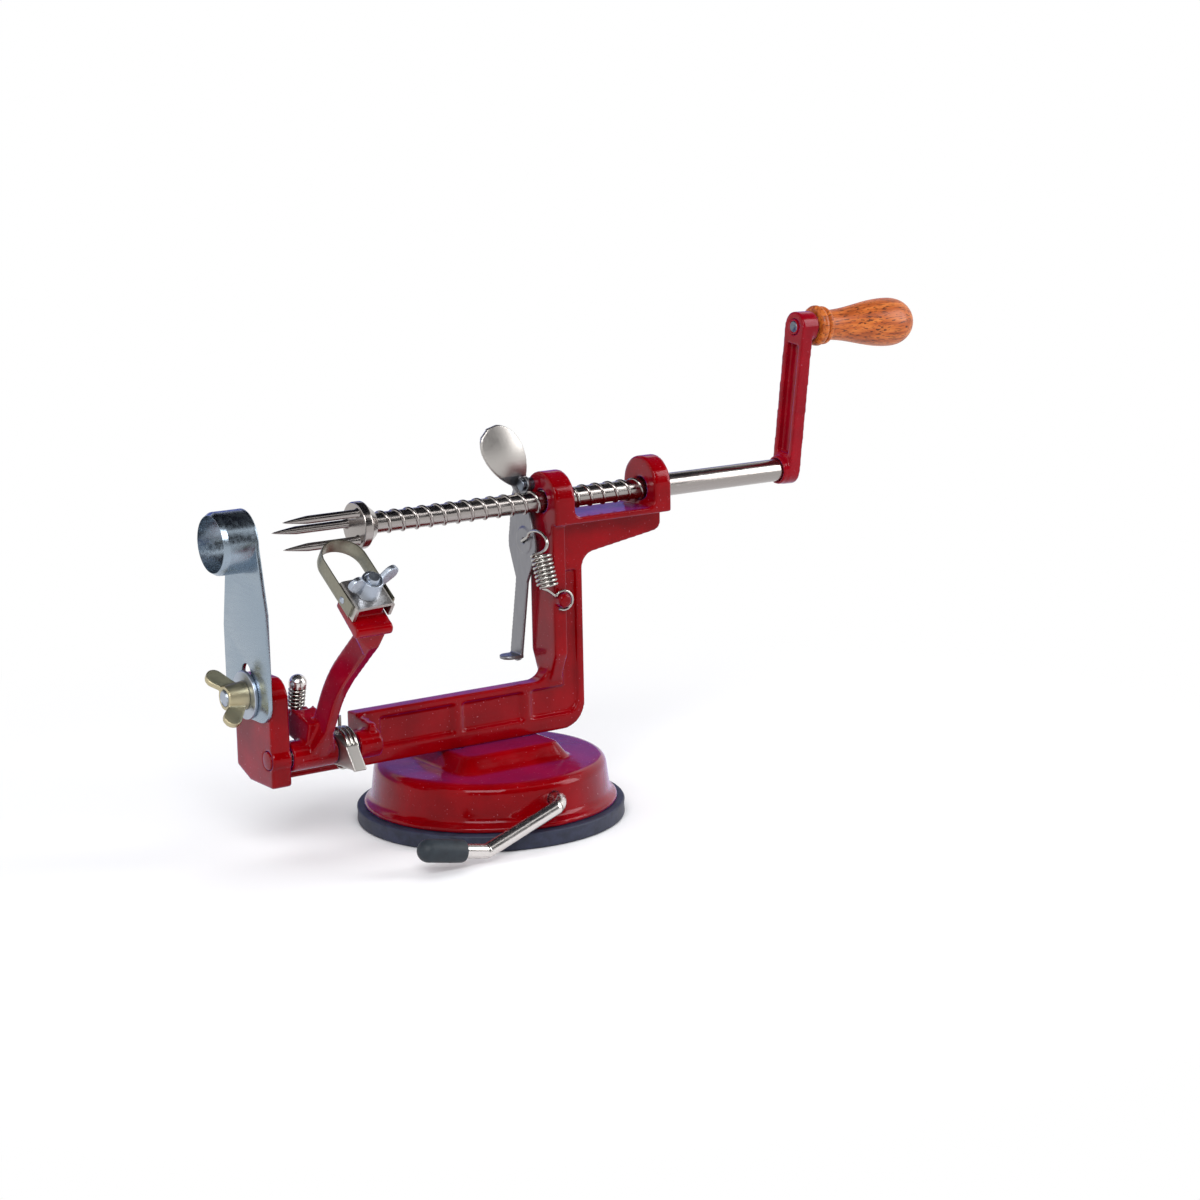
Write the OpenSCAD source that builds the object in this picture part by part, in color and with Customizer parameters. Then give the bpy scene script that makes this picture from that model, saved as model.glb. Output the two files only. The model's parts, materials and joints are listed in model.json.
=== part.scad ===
// Hand-cranked peeler, corer and slicer on a suction base, in millimetres.
// X runs along the feed shaft with the crank at +X, the user sits at -Y, and Z = 0 is the table.

/* [Suction base] */
// Radius of the rubber suction pad
pad_r = 50; // [48:0.5:56]
// Height of the pad at its rim
pad_h = 6; // [5:0.5:8]
// Depth of the hollow under the pad
pad_hollow = 1.8; // [1:0.1:2.4]
// Width of the ring on which the pad stands
pad_lip = 6; // [4:0.5:8]
// Radius of the base flange
flange_r = 47.2; // [46:0.1:49]
// Height of the base flange edge
flange_h = 2; // [1:0.1:3]
// Radius of the base drum
drum_r = 43.8; // [42:0.1:45]
// Height of the top of the drum
drum_top = 22.5; // [21:0.5:26]
// Rounding of the drum's upper edge
drum_round = 3.5; // [2:0.5:4]
// Wall of the base
base_wall = 3; // [2:0.2:4]
// Height of the saddle that carries the frame
saddle_top = 28.3; // [27:0.1:33]
// Length of the saddle's top along the shaft
saddle_l = 40; // [36:1:46]
// Width of the saddle's top
saddle_w = 34; // [26:1:38]
// Spread of the saddle's sloping sides at their foot
saddle_slope = 5; // [2:0.5:7]
// Distance between the two base screws
screw_gap = 30; // [26:1:34]
// Diameter of the base screws
screw_d = 4; // [3:0.1:4.4]

/* [Suction lever] */
// Diameter of the lever rod
lever_d = 5.3; // [4.5:0.1:6]
// Height of the lever axle
axle_z = 15.5; // [15:0.1:16.5]
// Throw of the eccentric that lifts the pad
throw = 2; // [1.5:0.1:2.4]
// Diameter of the eccentric pin
cam_d = 4; // [3:0.1:4.4]
// Reach of the lever from its axle to its low bend
lever_reach = 34.5; // [30:0.5:40]
// Fall of the lever from its axle to its low bend
lever_fall = 11.3; // [9:0.1:12]
// Length of the lever past its low bend
lever_end = 28; // [24:1:34]
// Rise of the lever past its low bend
lever_rise = 5.4; // [4:0.1:7]
// Diameter of the soft lever tip
tip_d = 8.4; // [7:0.1:9]
// Length of the soft lever tip
tip_l = 18.7; // [14:0.1:22]

/* [Frame casting] */
// Thickness of the web of the casting
web_t = 6.8; // [6.4:0.1:8]
// Depth of the panels sunk into the web
panel_d = 1.4; // [0.8:0.1:1.5]
// Width of the rim left around the sunk panels
panel_rim = 3; // [2:0.1:4]
// Height of the beam
beam_h = 19.9; // [18:0.1:22]
// Reach of the beam in front of the base centre
beam_reach = 58; // [55:0.5:62]
// Distance of the upright's front face behind the base centre
upright_x = 25; // [24:0.5:28]
// Depth of the upright
upright_d = 16; // [14:0.5:18]
// Radius of the casting's lower rear corner
corner_r = 10; // [6:0.5:12]
// Width of the upright's front flange
flange_w = 16.5; // [15:0.5:19]
// Thickness of the upright's front flange
flange_t = 5.5; // [4:0.1:6.5]
// Height of the shaft above the saddle
shaft_h = 87.4; // [84:0.1:92]
// Radius of the arched bearing lugs
lug_r = 10.6; // [10:0.1:11.5]
// Length of the front bearing lug
front_lug_l = 8.7; // [7:0.1:10]
// Distance from the upright's face to the rear lug
lug_gap = 45; // [42:0.5:50]
// Length of the rear bearing lug
rear_lug_l = 7.4; // [6:0.1:9]
// Rise of the front lug's arch above the shaft's axis
front_lug_over = 0.5; // [0:0.1:2]
// Rise of the rear lug's arch above the shaft's axis
rear_lug_over = 1.8; // [0:0.1:3]
// Radius of the fillets between the lugs and the arm
lug_fillet = 3; // [2:0.1:4]
// Drop from the shaft to the top of the arm
arm_drop = 6; // [5.6:0.1:6.4]
// Thickness of the arm's top flange
arm_flange_t = 2.4; // [2:0.1:3]
// Depth of the arm's rib under the rear lug
arm_rib = 10.5; // [9:0.1:12]
// Fall of the arm's rib from the rear lug to the upright
arm_fall = 4.3; // [3:0.1:6]
// Radius of the fillet between arm and upright
arm_fillet = 6; // [4:0.5:8]

/* [Front block] */
// Length of the bay between beam and front block
bay_l = 32; // [30:0.5:36]
// Thickness of the front block
block_t = 7.5; // [6:0.1:9]
// Width of the front block
block_w = 27.4; // [27:0.1:32]
// Height of the front block above its bolt
block_over = 6.6; // [6:0.1:9]
// Height of the front block's foot above the saddle
block_foot = 0.5; // [0:0.1:1]
// Radius of the front block's upper corners
block_round = 8; // [5:0.5:10]
// Near side of the strip that joins beam and block
strip_y = 1.5; // [1:0.1:1.6]
// Width of that strip
strip_w = 8.5; // [8:0.1:10]
// Height of that strip
strip_h = 11.7; // [11:0.1:12]

/* [Feed shaft] */
// Diameter of the plain shaft
shaft_d = 8.8; // [8.4:0.1:9.4]
// Diameter of the shaft inside the thread
core_d = 7; // [6.4:0.1:7.2]
// Diameter over the thread
crest_d = 8.2; // [8:0.1:8.3]
// Pitch of the feed thread
pitch = 5.8; // [5.4:0.1:6.4]
// Width of the thread's root
thread_root = 1.7; // [1.2:0.1:2]
// Width of the thread's crest
thread_crest = 1; // [0.6:0.1:1.2]
// Distance of the fork's crown in front of the base centre
fork_x = 47; // [45:0.5:50]
// Length of the plain shaft behind the rear lug
tail_l = 60.6; // [56:0.1:66]
// Clearance of turning fits, on the radius
fit = 0.05; // [0.02:0.01:0.09]

/* [Fork] */
// Radius of the fork's crown
crown_r = 8.6; // [8:0.1:9]
// Length of the fork's crown
crown_l = 7; // [6:0.5:9]
// Length of the fork's tines
tine_l = 30; // [24:1:36]
// Radius of a tine
tine_r = 1.5; // [1:0.1:1.8]
// Distance of the tines from the shaft's axis
tine_ring = 5.6; // [5.2:0.1:6]

/* [Crank] */
// Distance from the shaft to the handle
crank_l = 56.8; // [52:0.1:62]
// Width of the crank arm
crank_w = 11.6; // [11.4:0.1:13]
// Thickness of the crank arm
crank_t = 5.2; // [4:0.1:6]
// Length of the boss in front of the crank's foot
foot_lip = 2.4; // [1:0.1:3]
// Length of the crank's boss behind the handle
boss_l = 8; // [7:0.1:10]
// Lean of the crank away from the frame, in degrees
crank_set = 2; // [0:0.5:8]
// Turn of the crank at rest, in degrees
crank_rest = 6.4; // [0:0.1:20]
// Depth of the channel in the crank arm
channel_d = 2.6; // [1:0.1:3]
// Diameter of the handle's pin
handle_pin_d = 6; // [5:0.1:6.6]
// Length of the wooden handle
grip_l = 48.7; // [46:0.1:56]
// Largest radius of the wooden handle
grip_r = 9.6; // [8.6:0.1:10.5]
// Radius of the handle's neck
neck_r = 5.9; // [5.4:0.1:6.4]
// Radius of the handle's collar
collar_r = 7.9; // [7:0.1:8.6]
// Length of the handle's collar
collar_l = 6; // [5:0.5:8]
// Gap between handle and crank
grip_gap = 1; // [0.5:0.1:1.5]

/* [Feed lever] */
// Thickness of the lever plate
pawl_t = 1.4; // [1:0.1:1.8]
// Gap between lever plate and front lug
pawl_gap = 2; // [1.5:0.1:2.4]
// Pivot's distance beyond the shaft's axis
pawl_y = 5.8; // [5.6:0.1:6.2]
// Pivot's height above the shaft's axis
pawl_z = 5.8; // [5.6:0.1:6.4]
// Diameter of the lever's pivot
pawl_pin_d = 3.2; // [2.6:0.1:3.4]
// Radius of the lever's eye
pawl_eye_r = 3.2; // [3:0.1:3.5]
// Length of the lever's tail below the shaft
tail_drop = 59; // [54:1:62]
// Width of the lever's tail
tail_w = 7.4; // [6:0.1:8.5]
// Length of the lever's bent foot
foot_l = 8; // [6:0.5:10]
// Length of the thumb paddle
paddle_l = 27.5; // [24:0.5:30]
// Width of the thumb paddle
paddle_w = 16.2; // [14:0.1:18]
// Radius to which the thumb paddle is dished
paddle_dish = 34; // [28:1:45]

/* [Slicing blade] */
// Thickness of the slicing plate
slicer_t = 1.6; // [1.2:0.1:2]
// Width of the slicing plate
slicer_w = 32; // [30:0.5:34]
// Drop from the shaft to the foot of the slicing plate
slicer_drop = 63.3; // [60:0.1:66]
// Drop from the shaft to the blade's bolt
bolt_drop = 54.8; // [53:0.1:56]
// Diameter of the blade's bolt
bolt_d = 6; // [5:0.1:6.4]
// Play of the blade's slot along the plate
slot_l = 8; // [6:0.5:10]
// Radius inside the coring ring
ring_r = 10; // [9.8:0.1:11]
// Wall of the coring ring
ring_t = 1.2; // [1:0.1:1.6]
// Length of the coring ring
ring_l = 13; // [10:0.5:16]
// Radius of the washer under the wing nut
washer_r = 8.7; // [8:0.1:9.5]
// Thickness of the washer
washer_t = 1.4; // [1:0.1:2]
// Height of a wing nut's hub
nut_h = 7.5; // [6:0.1:8.5]
// Radius of a wing nut's foot
nut_r = 5.2; // [4.6:0.1:5.6]
// Span of a wing nut's wings, from its axis
wing_l = 12; // [11:0.1:14]
// Size of the head's wing nut against the blade's
small_nut = 0.86; // [0.8:0.01:1]
// Thickness of the wings
wing_t = 2.2; // [1.6:0.1:2.6]

/* [Paring arm] */
// Near offset of the arm's pivot pin
pin_y = 10.1; // [9.8:0.1:11]
// Height of the pivot pin above the saddle
pin_h = 10.4; // [10:0.1:11]
// Diameter of the pivot pin
pin_d = 6.6; // [6:0.1:7]
// Radius of the arm's hub
hub_r = 5.3; // [5:0.1:5.8]
// Length of the arm's hub
hub_l = 17.6; // [17:0.1:18.2]
// Width of the arm along the shaft
arm_w = 3.6; // [3:0.1:6]
// Thickness of the arm
arm_t = 9.6; // [8:0.1:11]
// Length of the arm's lower leg
arm_low = 22; // [18:0.5:26]
// Lean of the arm's lower leg
arm_lean = 30; // [26:1:34]
// Bend between the arm's legs, in degrees
arm_bend = 20; // [16:1:24]
// Radius of that bend
arm_bend_r = 60; // [50:1:70]
// Length of the arm's upper leg
arm_high = 22; // [18:0.5:26]
// Upward slant of the blade's head, in degrees
head_slant = 38; // [32:1:42]
// Turn of the blade about its stud, in degrees
head_turn = 3; // [0:1:8]
// Width of the head's seat
seat_w = 14; // [13:0.5:16]
// Length of the head's seat
seat_l = 11; // [10:0.5:12]
// Distance from the seat's outer end to its stud
stud_at = 6.5; // [6:0.1:7]
// Distance from the seat's outer end to the arm that carries it
seat_join = 3; // [2:0.1:5]
// Thickness of the head's seat
seat_t = 4; // [3:0.1:5]

/* [Stop screw] */
// Diameter of the stop screw
stop_d = 4; // [3:0.1:4.4]
// Diameter of its round head
stop_head_d = 6.6; // [6:0.1:7.4]
// Reach of the stop lug beyond the pivot pin
lug_reach = 12.2; // [11.6:0.1:12.8]
// Height of the stop lug's top above the pivot pin
lug_rise = 14; // [13:0.1:15]
// Lean of the stop screw towards the user
stop_lean = 14; // [10:1:18]
// Length of the screw above its lug
stop_up = 8.5; // [8:0.5:11]
// Gap between the screw's foot and the strip
stop_gap = 5; // [4.6:0.1:6]

/* [Paring blade] */
// Width between the outsides of the bracket
bracket_w = 15.2; // [14.8:0.1:16]
// Length of the bracket
bracket_l = 13; // [12:0.5:15]
// Height of the bracket's sides
bracket_h = 6; // [5:0.1:7]
// Thickness of the bracket's sheet
bracket_t = 1.2; // [1:0.1:1.5]
// Thickness of the stirrup blade
stirrup_t = 1; // [0.8:0.1:1.3]
// Length of the stirrup's straight legs
stirrup_l = 23; // [21:0.5:26]
// Diameter of the head's stud
stud_d = 5; // [4:0.1:5.4]
// Distance from the bracket's outer end to its rivets
rivet_at = 7.6; // [6.5:0.1:8.5]
// Diameter of the blade's rivets
rivet_d = 2.6; // [2:0.1:3]

/* [Springs] */
// Wire of the torsion spring
torsion_wire = 1.3; // [1.1:0.1:1.4]
// Mean radius of the torsion spring
torsion_r = 7.1; // [6.8:0.1:7.2]
// Curls of the torsion spring
torsion_curls = 2.75; // [1.75:1:2.75]
// Wire of the feed lever's spring
pull_wire = 1.1; // [0.8:0.1:1.1]
// Mean radius of the feed lever's spring
pull_r = 3.5; // [3:0.1:3.6]
// Curls of the feed lever's spring
pull_curls = 8; // [6:1:8]
// Wire of the stop screw's spring
stop_wire = 0.9; // [0.7:0.1:1]
// Curls of the stop screw's spring
stop_curls = 5; // [4:1:5]
// Width of the arm's latch
latch_w = 5; // [4:0.1:5.4]
// Thickness of the latch's thumb tab
latch_t = 1.2; // [1:0.1:1.4]
// Length of the latch's thumb tab
latch_tab = 9.8; // [9:0.2:12]
// Fall of the latch's thumb tab at rest, in degrees
latch_rest = 52; // [46:1:58]

/* [Hidden] */
$fn = 64;

// Gap between pieces that are close and don't turn in each other
gap = 0.3;
// Height of the beam's underside and top
beam_z0 = saddle_top;
beam_z1 = beam_z0 + beam_h;
// Height of the shaft's axis
shaft_z = saddle_top + shaft_h;
// Top of the arm's flange
arm_top = shaft_z - arm_drop;
// Rear faces of upright, front lug and rear lug
upright_x1 = upright_x + upright_d;
front_lug_x1 = upright_x + front_lug_l;
rear_lug_x = upright_x + lug_gap;
rear_lug_x1 = rear_lug_x + rear_lug_l;
// Faces of the front block
block_x1 = -beam_reach - bay_l;
block_x0 = block_x1 - block_t;
// Round toe of the arm's rib under the rear lug
arm_toe = 4;
// Bolt of the slicing blade
bolt_z = shaft_z - bolt_drop;
// Paring arm's pivot
pin_z = beam_z0 + pin_h;
pin_boss_x0 = -beam_reach - 4.7;
pin_boss_x1 = -beam_reach + 4.5;
pin_wall = 1.3;
hub_x0 = block_x1 + 2 * gap;
hub_x1 = hub_x0 + hub_l;
arm_set = 4.6;
arm_x = hub_x1 - arm_w / 2 - arm_set;
latch_x = hub_x1 + gap;
// Crank
crank_x = rear_lug_x1 + tail_l;
crank_x1 = crank_x + crank_t;
boss_x1 = crank_x + boss_l;
// Thread runs from the fork's crown to the rear of the rear lug
thread_x0 = -fork_x;
thread_x1 = rear_lug_x1;
// Feed lever's plate
pawl_x1 = upright_x - pawl_gap;
pawl_x0 = pawl_x1 - pawl_t;
hook_hole = [6.2, -15.2];
pawl_mouth = [9.4, 0];
pawl_belly = [8.2, -17];
pawl_knee = [9, -30];
pawl_mouth_r = 5;
pawl_belly_r = 9.2;
pawl_foot = [14.2, -tail_drop];
pawl_cut = 1.2;
pawl_cut_drop = 8.5;
paddle_back = 6.2;
paddle_out = 3;
paddle_up = 9.9;
// Narrowing foot of the upright's flange
flange_taper = 10;
// Ledge over the pin's boss
ledge_t = 3;
ledge_h = 3;
ledge_over = 3;
ledge_fall = 2.2;
// Peg on the upright's flange that holds the feed lever's spring
peg_drop = 36.2;
peg_x = upright_x + flange_t / 2;
peg_z = shaft_z - peg_drop;
peg_r = 2.7;
peg_l = 3.8;
// Feed lever's spring: drops of its coil's ends below the shaft, and the loop above the coil
pull_lean = 0.65;
pull_top = 18.2;
pull_foot = 31;
loop_over = 1.7;
loop_a = 6.8;
loop_b = 4.2;
// Pocket over the eccentric inside the base
pocket_r = 9.5;
pocket_top = saddle_top - 4.5;
// Yoke of the pad's lifter
yoke_wall = 1.8;
yoke_disc_r = 12;
yoke_stem_r = 2.9;
yoke_w = 6;
// Base screws' heads and their reach into the frame
screw_head_h = 2.6;
screw_reach = 11;

red = [0.55, 0.02, 0.05];
steel = [0.72, 0.73, 0.75];
zinc = [0.62, 0.65, 0.70];
rubber = [0.16, 0.19, 0.23];
wood = [0.66, 0.36, 0.16];

// Helpers

// Outline drawn in Y and Z, raised along X
module along_x(x0, x1) {
    translate([x0, 0, 0])
        rotate([90, 0, 90])
            linear_extrude(x1 - x0)
                children();
}
// Outline drawn in X and Z, raised to both sides of Y = 0
module across_y(width) {
    rotate([90, 0, 0])
        linear_extrude(width, center = true)
            children();
}
// Round bar along X at a place in Y and Z
module bar_x(x0, x1, r, at) {
    translate([x0, at[0], at[1]])
        rotate([0, 90, 0])
            cylinder(h = x1 - x0, r = r);
}
// Round bar between two points
module bar(a, b, r) {
    d = b - a;
    translate(a)
        rotate([0, acos(d.z / norm(d)), atan2(d.y, d.x)])
            cylinder(h = norm(d), r = r);
}
// Bar with round ends in an outline
module link(a, b, ra, rb) {
    hull() {
        translate(a)
            circle(ra, $fn = 32);
        translate(b)
            circle(rb, $fn = 32);
    }
}
function arc(c, r, a0, a1, n = 10) =
    [for (i = [0 : n]) c + r * [cos(a0 + (a1 - a0) * i / n), sin(a0 + (a1 - a0) * i / n)]];
function unit(v) = v / norm(v);
function flip(list) = [for (i = [len(list) - 1 : -1 : 0]) list[i]];

// Wire springs: a tube of triangles swept along a path
wire_sides = 6;
curl_rings = 8;
function tangents(p) =
    [for (i = [0 : len(p) - 1]) unit(p[min(i + 1, len(p) - 1)] - p[max(i - 1, 0)])];
function carried(t, n, i = 0, out = []) =
    i == len(t) ? out
    : let (m = unit(n - (n * t[i]) * t[i])) carried(t, m, i + 1, concat(out, [m]));
function tube_points(p, r, side) =
    let (t = tangents(p), n = carried(t, side))
    [for (i = [0 : len(p) - 1], k = [0 : wire_sides - 1])
        let (a = 360 * k / wire_sides) p[i] + r * (cos(a) * n[i] + sin(a) * cross(t[i], n[i]))];
function tube_walls(count) =
    [for (i = [0 : count - 2], k = [0 : wire_sides - 1], half = [0, 1])
        let (a = i * wire_sides + k, b = i * wire_sides + (k + 1) % wire_sides, s = wire_sides)
        half == 0 ? [a, a + s, b] : [b, a + s, b + s]];
function tube_caps(count) =
    let (last = (count - 1) * wire_sides)
    [for (k = [1 : wire_sides - 2], end = [0, 1])
        end == 0 ? [0, k, k + 1] : [last, last + k + 1, last + k]];
module wire(path, r, side) {
    polyhedron(tube_points(path, r, side), concat(tube_walls(len(path)), tube_caps(len(path))));
}
// Least gap of a wire to itself, between points over half a curl apart
function self_gap(p, d) =
    min([for (i = [0 : len(p) - 2], j = [i + 5 : 1 : len(p) - 1]) norm(p[i] - p[j])]) - d;

// Wing nut on its foot, with its axis along Z and its wings along X
module wing_nut(bore_d, size = 1) {
    difference() {
        scale(size) {
            cylinder(h = nut_h, r1 = nut_r, r2 = nut_r * 0.84);
            for (s = [-1, 1])
                rotate([90, 0, 0])
                    linear_extrude(wing_t, center = true)
                        link([s * nut_r * 0.7, nut_h * 0.45], [s * (wing_l - nut_h * 0.44), nut_h * 1.05],
                            nut_h * 0.34, nut_h * 0.44);
        }
        translate([0, 0, -1])
            cylinder(h = nut_h * 2, r = bore_d / 2 + fit);
    }
}

// Suction base

module suction_pad() {
    color(rubber)
        rotate_extrude($fn = 96)
            polygon([[0, pad_hollow], [pad_r - 2 * pad_lip, pad_hollow], [pad_r - pad_lip, 0], [pad_r, 0],
                [pad_r, pad_h - 1.5], [pad_r - 1.5, pad_h], [drum_r - base_wall - 1, pad_h],
                [drum_r - base_wall - 2, pad_h - 1.2], [0, pad_h - 1.2]]);
}

// Outline of the drum from its flange to its round upper edge
function drum_outline() =
    let (edge_z = pad_h + flange_h, flare = flange_r - drum_r - 0.6)
    concat([[flange_r, pad_h]],
        flip(arc([flange_r, edge_z + flare], flare, 180, 270)),
        arc([drum_r - 0.4 - drum_round, drum_top - drum_round], drum_round, 0, 90));

module base_shell() {
    inner_r = drum_r - base_wall;
    ceiling = drum_top - base_wall;
    color(red)
        difference() {
            union() {
                rotate_extrude($fn = 128)
                    polygon(concat(drum_outline(),
                        [[0, drum_top], [0, ceiling],
                            [inner_r - 2, ceiling], [inner_r, ceiling - 2], [inner_r, pad_h]]));
                hull()
                    for (sx = [-1, 1], sy = [-1, 1]) {
                        translate([sx * (saddle_l / 2 - 4), sy * (saddle_w / 2 - 4), saddle_top - 1])
                            cylinder(h = 1, r = 4, $fn = 32);
                        translate([sx * (saddle_l / 2 + saddle_slope - 7),
                            sy * (saddle_w / 2 + saddle_slope - 7), ceiling + 1])
                            cylinder(h = 1, r = 7, $fn = 32);
                    }
                translate([0, drum_r - 4, axle_z])
                    rotate([90, 0, 0])
                        cylinder(h = 6, r = lever_d / 2 + 2);
            }
            translate([0, 0, ceiling - 1])
                cylinder(h = pocket_top - ceiling + 1, r = pocket_r);
            for (s = [-1, 1])
                translate([s * screw_gap / 2, 0, ceiling - 1])
                    cylinder(h = saddle_top, r = screw_d / 2 + 0.1);
            translate([0, drum_r - 6, axle_z])
                rotate([90, 0, 0])
                    cylinder(h = 2 * drum_r, r = lever_d / 2 + fit);
        }
}

// Yoke that the eccentric lifts, with the plate that draws the pad up
module lift_stud() {
    cam_z = axle_z - throw;
    slot_z = cam_d / 2 + 2 * gap;
    slot_x = cam_d / 2 + throw + 3 * gap;
    wall = yoke_wall;
    disc_z = pad_h - 1.2;
    color(zinc)
        difference() {
            union() {
                translate([0, 0, disc_z])
                    cylinder(h = yoke_wall, r = yoke_disc_r);
                translate([0, 0, disc_z])
                    cylinder(h = cam_z - slot_z - wall / 2 - disc_z, r = yoke_stem_r);
                translate([0, 0, cam_z])
                    cube([2 * (slot_x + wall), yoke_w, 2 * (slot_z + wall)], center = true);
            }
            translate([0, 0, cam_z])
                cube([2 * slot_x, 2 * yoke_w, 2 * slot_z], center = true);
        }
}

// Corners of the bent lever, from the elbow outside the drum to the end
elbow = [0, -(flange_r + lever_d / 2 + 0.2), axle_z];
low_bend = [-lever_reach, elbow.y - 2, axle_z - lever_fall];
lever_tail = low_bend + [-lever_end, 0, lever_rise];
tail_dir = unit(lever_tail - low_bend);

module suction_lever() {
    r = lever_d / 2;
    bend_swell = 0.15;
    web_r = throw + cam_d / 2 + 0.6;
    web_y = 3.6;
    web_t = 2;
    color(steel)
        union() {
            bar(elbow, [0, -web_y - web_t / 2, axle_z], r);
            bar([0, web_y + web_t / 2, axle_z], [0, drum_r - 6.5, axle_z], r);
            for (s = [-1, 1])
                translate([0, s * (web_y + web_t / 2), axle_z])
                    rotate([90, 0, 0])
                        cylinder(h = web_t, r = web_r, center = true);
            bar([0, -web_y - web_t / 2, axle_z - throw], [0, web_y + web_t / 2, axle_z - throw], cam_d / 2);
            translate(elbow)
                sphere(r + bend_swell);
            bar(elbow, low_bend, r);
            translate(low_bend)
                sphere(r + bend_swell);
            bar(low_bend, lever_tail - tail_dir * tip_d / 2, r);
        }
}

module lever_tip() {
    r = tip_d / 2;
    bore = lever_d / 2;
    color(rubber)
        translate(lever_tail - tail_dir * tip_l)
            rotate([0, acos(tail_dir.z), atan2(tail_dir.y, tail_dir.x)])
                rotate_extrude()
                    polygon(concat([[bore, 0], [r - 0.6, 0], [r, 0.6]], arc([0, tip_l - r], r, 0, 90, 12),
                        [[0, tip_l - r], [bore, tip_l - r]]));
}

module base_screws() {
    head_z = drum_top - base_wall;
    color(zinc)
        for (s = [-1, 1])
            translate([s * screw_gap / 2, 0, 0]) {
                translate([0, 0, head_z - screw_head_h])
                    cylinder(h = screw_head_h, r = screw_d * 0.95);
                translate([0, 0, head_z])
                    cylinder(h = beam_z0 + screw_reach - head_z, r = screw_d / 2);
            }
}

// Frame casting

// Side outline of the whole web: beam, upright and arm
function web_outline() =
    let (rib_z = arm_top - arm_rib, fillet = arm_fillet,
        under = [upright_x1 + arm_fillet, rib_z - arm_fall], rise = atan2(arm_fall, rear_lug_x - under.x))
    concat([[-beam_reach, beam_z0]],
        arc([upright_x1 - corner_r, beam_z0 + corner_r], corner_r, -90, 0),
        flip(arc([under.x, under.y - arm_fillet], arm_fillet, 90 + rise, 180)),
        arc([rear_lug_x1 - arm_toe, rib_z + arm_toe], arm_toe, rise - 90, 0),
        [[rear_lug_x1, arm_top], [upright_x, arm_top]],
        flip(arc([upright_x - fillet, beam_z1 + fillet], fillet, -90, 0)),
        [[-beam_reach, beam_z1]]);

// Sunk panels: one along the beam, turning up into the upright
module panel_outline() {
    x0 = -beam_reach + 10;
    x1 = upright_x1 - panel_rim;
    z0 = beam_z0 + 6;
    top = arm_top - arm_rib - arm_fall - arm_fillet;
    up_x = upright_x + flange_t + 1;
    polygon(concat([[x0, z0]],
        arc([x1 - corner_r / 2, z0 + corner_r / 2], corner_r / 2, -90, 0),
        [[x1, top], [up_x, top], [up_x, beam_z1 - panel_rim], [x0, beam_z1 - panel_rim]]));
}

// Front flange of the upright, which narrows to the web above the beam
module flange_outline() {
    w = flange_w / 2;
    foot = beam_z1 + flange_taper;
    polygon([[-w, arm_top], [-w, foot], [-web_t / 2, beam_z1 - 1],
        [web_t / 2, beam_z1 - 1], [w, foot], [w, arm_top]]);
}

// Ledge across the beam's front end, which falls towards the user over the pin's boss
module ledge_outline() {
    near = -pin_y - ledge_over;
    polygon([[web_t / 2, beam_z1], [near, beam_z1 - ledge_fall], [near, beam_z1 - ledge_fall - ledge_h],
        [0, beam_z1 - ledge_fall - ledge_h]]);
}

// Arched lug on the arm
module lug_outline(over) {
    translate([0, shaft_z + over])
        circle(lug_r);
    translate([-lug_r, arm_top - arm_flange_t])
        square([2 * lug_r, arm_drop + arm_flange_t + over]);
}

// Arm's top flange from lug to lug, with a fillet up each lug
function arm_flange_outline() =
    let (r = lug_fillet, low = arm_top - arm_flange_t)
    concat([[front_lug_x1 - 1, low], [rear_lug_x + 1, low], [rear_lug_x + 1, arm_top + r]],
        flip(arc([rear_lug_x - r, arm_top + r], r, -90, 0)),
        flip(arc([front_lug_x1 + r, arm_top + r], r, 180, 270)),
        [[front_lug_x1 - 1, arm_top + r]]);

// Front block with round upper corners and one cut lower corner
module block_outline() {
    w = block_w / 2;
    z0 = beam_z0 + block_foot;
    z1 = bolt_z + block_over;
    polygon(concat([[-w + 1, z0], [w - 10, z0], [w, z0 + 4]],
        arc([w - block_round, z1 - block_round], block_round, 0, 90),
        arc([-w + block_round, z1 - block_round], block_round, 90, 180),
        [[-w, z0 + 1]]));
    translate([-pin_y, pin_z])
        circle(pin_d / 2 + pin_wall);
}

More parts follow.
